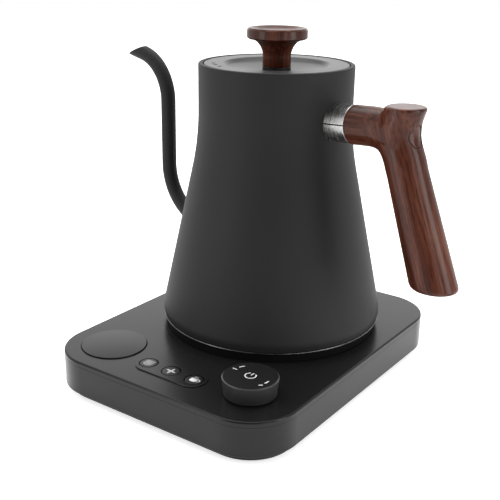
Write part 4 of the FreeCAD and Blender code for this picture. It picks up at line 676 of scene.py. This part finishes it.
def sleeve(radius, dip, rows=14, end=11.75):
    """Point at angle a and length s: start + s * axis + radius * (upward sin a - sideways cos a).
    The length starts on the neck's cylinder, x = sqrt(R^2 - y^2)."""
    close = JOINT + np.linspace(-0.04, 0.04, 17)
    angle = np.sort(np.concatenate([np.linspace(0, 2 * np.pi, 120, endpoint=False), close]))
    size = radius - dip * np.exp(-(((angle - JOINT) / 0.02) ** 2))
    y, up = -size * np.cos(angle), size * np.sin(angle)
    first = (np.sqrt(NECK_RADIUS**2 - y**2) - 0.5 - ARM_START[0] + ARM[1] * up) / ARM[0]
    s = first + (end - first) * np.append(np.linspace(0, 0.97, rows - 1), 1.0)[:, None]
    x, z = ARM_START[0] + s * ARM[0] - up * ARM[1], ARM_START[1] + s * ARM[1] + up * ARM[0]
    return np.stack([x, y + 0 * s, z], -1)


outer, inner = sleeve(SLEEVE_OUTER, JOINT_DIP), sleeve(SLEEVE_INNER, 0.0)
edge = sleeve(SLEEVE_EDGE, JOINT_DIP, 2, SLEEVE_END)[1:]
points, faces = grid_faces(with_kettle(np.vstack([outer, edge, inner[::-1]])), round_rows=True)
ring = add_mesh("steel_sleeve", points, faces, "kettle", ["handle_ferrule"])
paint(ring, "ferrule_steel")
x, y, z = with_kettle(face_values(ring, "center") / MM, -TURN).T
rise = (z - ARM_START[1]) * ARM[0] - (x - ARM_START[0]) * ARM[1]
on_outside = np.hypot(rise, y) > SLEEVE_INNER + 0.5
groove = (np.abs(np.arctan2(rise, -y) - JOINT) < JOINT_REACH) & on_outside
set_finishes(ring, ["shade_and_joint_black"], groove)
print("faces in the joint:", groove.sum())

# %% [markdown]
# The knob is turned on a lathe: a straight stem, a quarter-round flare and a thick disc with a bevelled
# edge and a slightly dished top. Its grain stands upright, as in a blank held between the centres.

# %% Wooden knob
STEM = [(0.0, 167.0), (7.3, 167.0), (7.5, 167.2)]
DISC = [(15.2, 181.3, 0), (16.0, 181.9, 0.5), (16.0, 186.0, 0.6), (15.1, 186.95, 0.4),
        (13.9, 186.85, 0.8), (10.5, 185.75, 3.0), (0.0, 185.3, 0)]
FLARE_OUT, FLARE_WIDTH, FLARE_FOOT, FLARE_HEIGHT = 15.2, 7.7, 172.2, 9.1
quarter = np.linspace(0, np.pi / 2, 16)
flare = np.stack([FLARE_OUT - FLARE_WIDTH * np.cos(quarter), FLARE_FOOT + FLARE_HEIGHT * np.sin(quarter)], -1)
points, faces = grid_faces(turned(np.vstack([STEM, flare, softened(DISC)[1:]]), 128))
knob = add_mesh("turned_knob", points, faces, "lid", ["lid_knob"])
paint(knob, "knob_wood")
place = np.zeros(len(knob.data.vertices) * 3, np.float32)
knob.data.vertices.foreach_get("co", place)
set_grain(knob, place.reshape(-1, 3) / MM + np.array([40.0, 25.0, 0.0]))

WASHER = [(5.0, 165.0, 0), (7.6, 165.0, 0.2), (7.6, 167.0, 0.25), (5.0, 167.0, 0)]
points, faces = grid_faces(turned(softened(WASHER), 96), round_rows=True)
washer = add_mesh("black_washer", points, faces, "lid", ["knob_washer"])
paint(washer, "black_plastic")

# %% [markdown]
# The lid is pressed from sheet: a flat rim, a soft S-shaped step and a shallow dish, one turned surface.
# Its three vents are small round dents near the edge, made by lowering the points that fall inside them,
# so the grid is drawn finer there. The rounded outer edge leaves a thin dark gap against the neck.

# %% Pressed lid
LID_TOP = 168.6
STEP_OUTER, STEP_INNER, STEP_DEPTH = 29.0, 25.4, 1.8
DISH_WIDTH, DISH_DEPTH = 17.8, 1.8
VENTS, VENT_OUT = np.radians([221.0, 232.0, 243.0]), 33.5
VENT_RADIUS, VENT_SLOPE, VENT_DEPTH = 1.15, 0.35, 1.4
LID_EDGE = [(38.0, LID_TOP, 0), (38.6, LID_TOP, 0.45), (38.6, 163.0, 0), (37.6, 163.0, 0),
            (37.6, 166.8, 0), (31.0, 166.8, 0), (23.5, 163.4, 0), (4.0, 163.4, 0)]


def eased(share):
    """The S-curve 3 s^2 - 2 s^3, which starts and ends level."""
    share = np.clip(share, 0, 1)
    return share * share * (3 - 2 * share)


def lid_points():
    """Point at radius r and angle a: height from a profile, lowered by a smooth step inside each vent."""
    spans = [(4.0, 24.6, 24), (25.0, 29.4, 23), (29.8, 31.0, 4), (31.2, 35.8, 24), (36.2, 38.0, 8)]
    radius = np.concatenate([np.linspace(*span) for span in spans])[:, None]
    close = np.radians(np.linspace(214.7, 249.3, 90))
    angle = np.sort(np.concatenate([np.linspace(0, 2 * np.pi, 180, endpoint=False), close]))
    step = STEP_DEPTH * eased((STEP_OUTER - radius) / (STEP_OUTER - STEP_INNER))
    dish = DISH_DEPTH * np.clip((STEP_INNER - radius) / DISH_WIDTH, 0, 1)
    x, y, z = radius * np.cos(angle), radius * np.sin(angle), LID_TOP - step - dish + 0 * angle
    for way in VENTS:
        far = np.hypot(x - VENT_OUT * np.cos(way), y - VENT_OUT * np.sin(way))
        z = z - VENT_DEPTH * eased((VENT_RADIUS - far) / VENT_SLOPE)
    under = softened(LID_EDGE)[1:]
    r, h = under[:, :1], under[:, 1:]
    below = np.stack([r * np.cos(angle), r * np.sin(angle), h + 0 * angle], -1)
    return np.vstack([np.stack([x, y, z], -1), below])


points, faces = grid_faces(lid_points(), round_rows=True)
lid = add_mesh("pressed_lid", points, faces, "lid", ["lid_cap"])
paint(lid, "lid_black")

# %% [markdown]
# Lens and buttons sit in holes of the top plate with a fine dark gap all round. They are low discs:
# a flat top, a rounded edge that catches a thin light, and a short wall that goes down into the hole.

# %% Lens and buttons
LENS, LENS_RADIUS = (-45.2, -83.5), 17.45
BUTTON = {"left": (-15.0, -89.35), "middle": (0.0, -89.35), "right": (15.0, -89.35)}
BUTTON_RADIUS, BUTTON_TOP = 4.62, 23.6


def low_disc(name, body, node, slot, centre, radius, top=BUTTON_TOP, edge=0.3, tall=1.9):
    """A turned disc with a rounded upper edge, moved to its centre; it stands for one node of the frame."""
    profile = softened([(0.0, top, 0), (radius, top, edge), (radius, top - tall, 0), (0.0, top - tall, 0)])
    points, faces = grid_faces(turned(profile, 96) + np.array([*centre, 0.0]))
    disc = add_mesh(name, points, faces, body, [node])
    paint(disc, slot)


low_disc("smooth_lens", "base", "display_lens", "lens", LENS, LENS_RADIUS)
for side, centre in BUTTON.items():
    low_disc("smooth_" + side, side + "_button", "button_" + side, "control_black", centre, BUTTON_RADIUS)

# %% [markdown]
# The marks on the buttons and the dial are pale print. Each is a thin raised stroke or patch of ink a few
# hundredths of a millimetre thick, so it stays crisp from close by and moves with its button.
# They are everyday symbols: a power sign, two pairs of turning ticks, a jug, crossed leaves and a cup.

# %% Strokes and patches of ink
FINISH["ink"] = coated("ink", (0.62, 0.62, 0.61), 0.55, 1500.0, 0.03)


def stroke(path, width, level, thick=0.04):
    """A ribbon of ink along a path of (x, y) points: a ring of four corners at each point, with both ends
    closed. The corners stand half the width to each side, square to the path."""
    path = np.array(path, float)
    ahead = np.gradient(path, axis=0)
    ahead /= np.linalg.norm(ahead, axis=1)[:, None]
    side = np.stack([-ahead[:, 1], ahead[:, 0]], -1) * np.asarray(width, float).reshape(-1, 1) / 2
    left, right = path + side, path - side
    around = [(left, level), (right, level), (right, level + thick), (left, level + thick)]
    rings = np.stack([np.hstack([xy, np.full((len(path), 1), z)]) for xy, z in around], 1)
    ends = [np.repeat(rings[k].mean(axis=0)[None, None], 4, axis=1) for k in (0, -1)]
    return grid_faces(np.vstack([ends[0], rings, ends[1]]))


def patch(outline, level, thick=0.04):
    """A flat patch of ink: an outline of (x, y) points, joined to its middle above and below."""
    outline = np.array(outline, float)
    middle = np.repeat(outline.mean(axis=0)[None], len(outline), axis=0)
    rows = [(middle, level), (outline, level), (outline, level + thick), (middle, level + thick)]
    return grid_faces(np.stack([np.hstack([xy, np.full((len(xy), 1), z)]) for xy, z in rows]))


def arc(centre, radius, start, stop, steps=24):
    """Points of an arc, between angles in degrees."""
    angle = np.radians(np.linspace(start, stop, steps))
    return np.stack([centre[0] + radius * np.cos(angle), centre[1] + radius * np.sin(angle)], -1)


def line(start, stop, steps=2):
    """Points of a straight line."""
    return np.linspace(start, stop, steps)


def printed(name, body, centre, marks, turn=0):
    """Joins marks drawn about (0, 0) into one piece, turned and moved to its place."""
    all_points, all_faces, count = [], [], 0
    for points, faces in marks:
        all_points.append(points)
        all_faces += [[v + count for v in face] for face in faces]
        count += len(points)
    points = np.vstack(all_points)
    c, s = np.cos(np.radians(turn)), np.sin(np.radians(turn))
    x, y = points[:, 0] * c - points[:, 1] * s + centre[0], points[:, 0] * s + points[:, 1] * c + centre[1]
    piece = add_mesh(name, np.stack([x, y, points[:, 2]], -1), all_faces, body)
    paint(piece, "ink")


# %% [markdown]
# With strokes and patches at hand, each symbol is a short list. Paths are drawn about the middle of their
# button or dial, in millimetres, and each list becomes one piece.

# %% The printed symbols
DIAL, DIAL_TOP = (45.2, -83.5), 33.0
power = [stroke(arc((0, 0), 2.7, 122, 418, 40), 0.62, DIAL_TOP),
         stroke(line((0.0, 0.3), (0.0, 3.0), 4), 0.62, DIAL_TOP)]
ticks = [stroke(line((-11.6, 1.2), (-8.8, 1.2)), 0.62, DIAL_TOP),
         stroke(arc((0, 0), 10.2, 141, 158, 8), 0.66, DIAL_TOP),
         stroke(line((8.4, -5.4), (10.1, -4.2)), 0.8, DIAL_TOP),
         stroke(arc((0, 0), 10.1, -13, 4, 8), 0.72, DIAL_TOP)]
printed("print_dial", "dial", DIAL, power + ticks)

JUG = [(-2.3, 2.2), (-2.1, -1.6), (-1.5, -2.2), (1.5, -2.2), (2.1, -1.6), (2.3, 2.2)]
jug = [stroke(JUG, 0.34, BUTTON_TOP)]
jug += [stroke(line((x, -1.4), (x, 1.5)), 0.42, BUTTON_TOP) for x in (-1.05, 0.0, 1.05)]
jug += [stroke(line((-2.5, 2.2), (2.5, 2.2)), 0.34, BUTTON_TOP)]
printed("print_left", "left_button", BUTTON["left"], jug)

LEAF_WIDTHS = [0.25, 0.75, 0.95, 0.7, 0.4, 0.7, 0.95, 0.75, 0.25]
leaves = [stroke(line((-3.0, 0.0), (3.0, 0.0), 9), LEAF_WIDTHS, BUTTON_TOP),
          stroke(line((0.0, -2.9), (0.0, 2.9), 9), LEAF_WIDTHS, BUTTON_TOP)]
printed("print_middle", "middle_button", BUTTON["middle"], leaves, turn=-6)

CUP = [(-2.2, 1.3), (-2.0, -1.4), (-1.3, -2.1), (1.3, -2.1), (2.0, -1.4), (2.2, 1.3)]
cup = [patch(CUP, BUTTON_TOP), stroke(arc((2.3, -0.1), 1.1, -100, 100), 0.4, BUTTON_TOP)]
cup += [stroke(line((x, 1.9), (x + 0.3, 3.0)), 0.45, BUTTON_TOP) for x in (-1.0, 0.3)]
printed("print_right", "right_button", BUTTON["right"], cup)

# %% [markdown]
# The room is a photographer's white sweep. Floor and sky are white for the camera and for mirrored rays
# alike, so that metal shows the same background; towards the camera the sky dims, as a studio does there,
# and that keeps black things black. Soft boxes draw the broad bands of light on the body and the grip.

# %% Sky
AZIMUTH = 35.423


def compass(bearing):
    """The level direction at a bearing in degrees, counted from the camera's own, towards its right."""
    angle = np.radians(AZIMUTH - 90 + bearing)
    return np.array([np.cos(angle), np.sin(angle), 0.0])


def mirrored(tree):
    """The mask of rays seen in a mirror or through glass, and of those that the camera sees itself."""
    path = add_node(tree, "ShaderNodeLightPath").outputs
    return maths(tree, "MAXIMUM", path["Is Glossy Ray"], path["Is Transmission Ray"]), path["Is Camera Ray"]


world = bpy.data.worlds.new("sweep")
bpy.context.scene.world = world
world.use_nodes = True
tree = world.node_tree
way = add_node(tree, "ShaderNodeTexCoord").outputs["Generated"]
front = add_node(tree, "ShaderNodeVectorMath", operation="DOT_PRODUCT", in_0=way, in_1=tuple(compass(12)))
shade = ramped(tree, front.outputs["Value"], -0.3, 0.4, 1.0, 0.16)
rise = add_node(tree, "ShaderNodeSeparateXYZ", in_Vector=way).outputs["Z"]
glow = ramped(tree, rise, 0.02, 0.35, 0.8, 2.1)
mirror, seen = mirrored(tree)
lift = add_node(tree, "ShaderNodeMix", in_0=mirror, in_2=glow, in_3=1.0).outputs[0]
both = maths(tree, "MULTIPLY", shade, lift)
level = add_node(tree, "ShaderNodeMix", in_0=seen, in_2=both, in_3=1.0).outputs[0]
tree.links.new(level, tree.nodes["Background"].inputs["Strength"])
tree.nodes["Background"].inputs["Color"].default_value = (1, 1, 1, 1)
print("sky nodes:", len(tree.nodes))

# %% [markdown]
# A soft box is a wide lamp behind white cloth, and an area light is just that. Its place is given by a
# bearing from the camera, a height and a distance, and it is turned to face the middle of the kettle.

# %% Soft boxes
MIDDLE = np.array([0, 0, 0.09])


def soft_box(name, bearing, height, distance, wide, tall, watts):
    """An area light that faces the kettle; lengths in metres, the bearing in degrees from the camera."""
    light = bpy.data.lights.new(name, "AREA")
    light.shape, light.size, light.size_y, light.energy = "RECTANGLE", wide, tall, watts
    lamp = bpy.data.objects.new(name, light)
    bpy.context.scene.collection.objects.link(lamp)
    place = compass(bearing) * distance + np.array([0, 0, height])
    back = (place - MIDDLE) / np.linalg.norm(place - MIDDLE)
    right = np.cross((0, 0, 1), back)
    right /= np.linalg.norm(right)
    turn = np.eye(4)
    turn[:3, :3] = np.stack([right, np.cross(back, right), back], -1)
    turn[:3, 3] = place
    lamp.matrix_world = Matrix(turn.tolist())
    lamp.visible_camera = False
    print(name, "at", [round(float(v), 2) for v in place])


soft_box("box_left", -60, 0.30, 0.9, 0.32, 0.9, 3.0)
soft_box("box_front", 30, 0.30, 0.9, 0.16, 0.9, 1.1)
soft_box("box_right", 60, 0.35, 0.9, 0.34, 0.9, 4.6)
soft_box("box_top", 180, 1.1, 0.35, 0.9, 0.9, 6.0)
soft_box("box_back", 180, 0.45, 1.2, 1.8, 0.5, 2.6)

# %% [markdown]
# The floor is white to the camera and in mirrors. Close to the base it is white for every ray, so that the
# base's walls are lit from below; further out it sends less light back, as a darker studio floor would.

# %% Floor
NEAR, FAR = 0.145, 0.23
rings = np.array([0.0, 60, 120, 200, 300, 450, 700, 1100, 1800, 3000])
points, faces = grid_faces(turned(np.stack([rings, 0 * rings], -1), 96))
floor = add_mesh("floor", points, faces, None)
floor_finish, tree, shader = new_material(
    "white_floor", Roughness=1.0, Specular_IOR_Level=0.0, Emission_Color=(1, 1, 1, 1))
mirror, seen = mirrored(tree)
place = add_node(tree, "ShaderNodeTexCoord").outputs["Object"]
out = add_node(tree, "ShaderNodeVectorMath", operation="LENGTH", in_0=place).outputs["Value"]
lit = maths(tree, "MAXIMUM", seen, ramped(tree, out, NEAR, FAR, 1.0, 0.0))
tint = spread(tree, maths(tree, "MAXIMUM", lit, mirror), 0.32, 0.85, 0.0, 1.0)
tree.links.new(tint, shader.inputs["Base Color"])
tree.links.new(spread(tree, lit, 0.0, 0.6, 0.0, 1.0), shader.inputs["Emission Strength"])
floor.data.materials.append(floor_finish)

# %% [markdown]
# The camera stands where the photographer stood. Its place was worked out from points of the object whose
# sizes are known: it is a little above, to the right of the front, half a metre away, and tipped by less
# than a degree.

# %% Camera
AZ, EL, ROLL = np.radians(AZIMUTH), np.radians(19.638), np.radians(0.836)
AIM_HEIGHT, AIM_LEFT, DISTANCE, FOCAL = 0.063329, 0.012699, 0.491745, 62.05
RIGHT = np.array([np.cos(AZ), np.sin(AZ), 0.0])
BACK = np.array([np.sin(AZ) * np.cos(EL), -np.cos(AZ) * np.cos(EL), np.sin(EL)])
UP = np.cross(BACK, RIGHT)
right, up = np.cos(ROLL) * RIGHT + np.sin(ROLL) * UP, -np.sin(ROLL) * RIGHT + np.cos(ROLL) * UP
target = np.array([0, 0, AIM_HEIGHT]) - AIM_LEFT * RIGHT
pose = np.eye(4)
pose[:3, :3] = np.stack([right, up, BACK], -1)
pose[:3, 3] = target + DISTANCE * BACK
lens = bpy.data.cameras.new("camera")
lens.lens, lens.sensor_width, lens.clip_start, lens.clip_end = FOCAL, 36.0, 0.01, 20.0
camera = bpy.data.objects.new("camera", lens)
bpy.context.scene.collection.objects.link(camera)
camera.matrix_world = Matrix(pose.tolist())
bpy.context.scene.camera = camera
bpy.context.scene.view_settings.view_transform = "Standard"
print("camera at", [round(float(v), 3) for v in pose[:3, 3]])
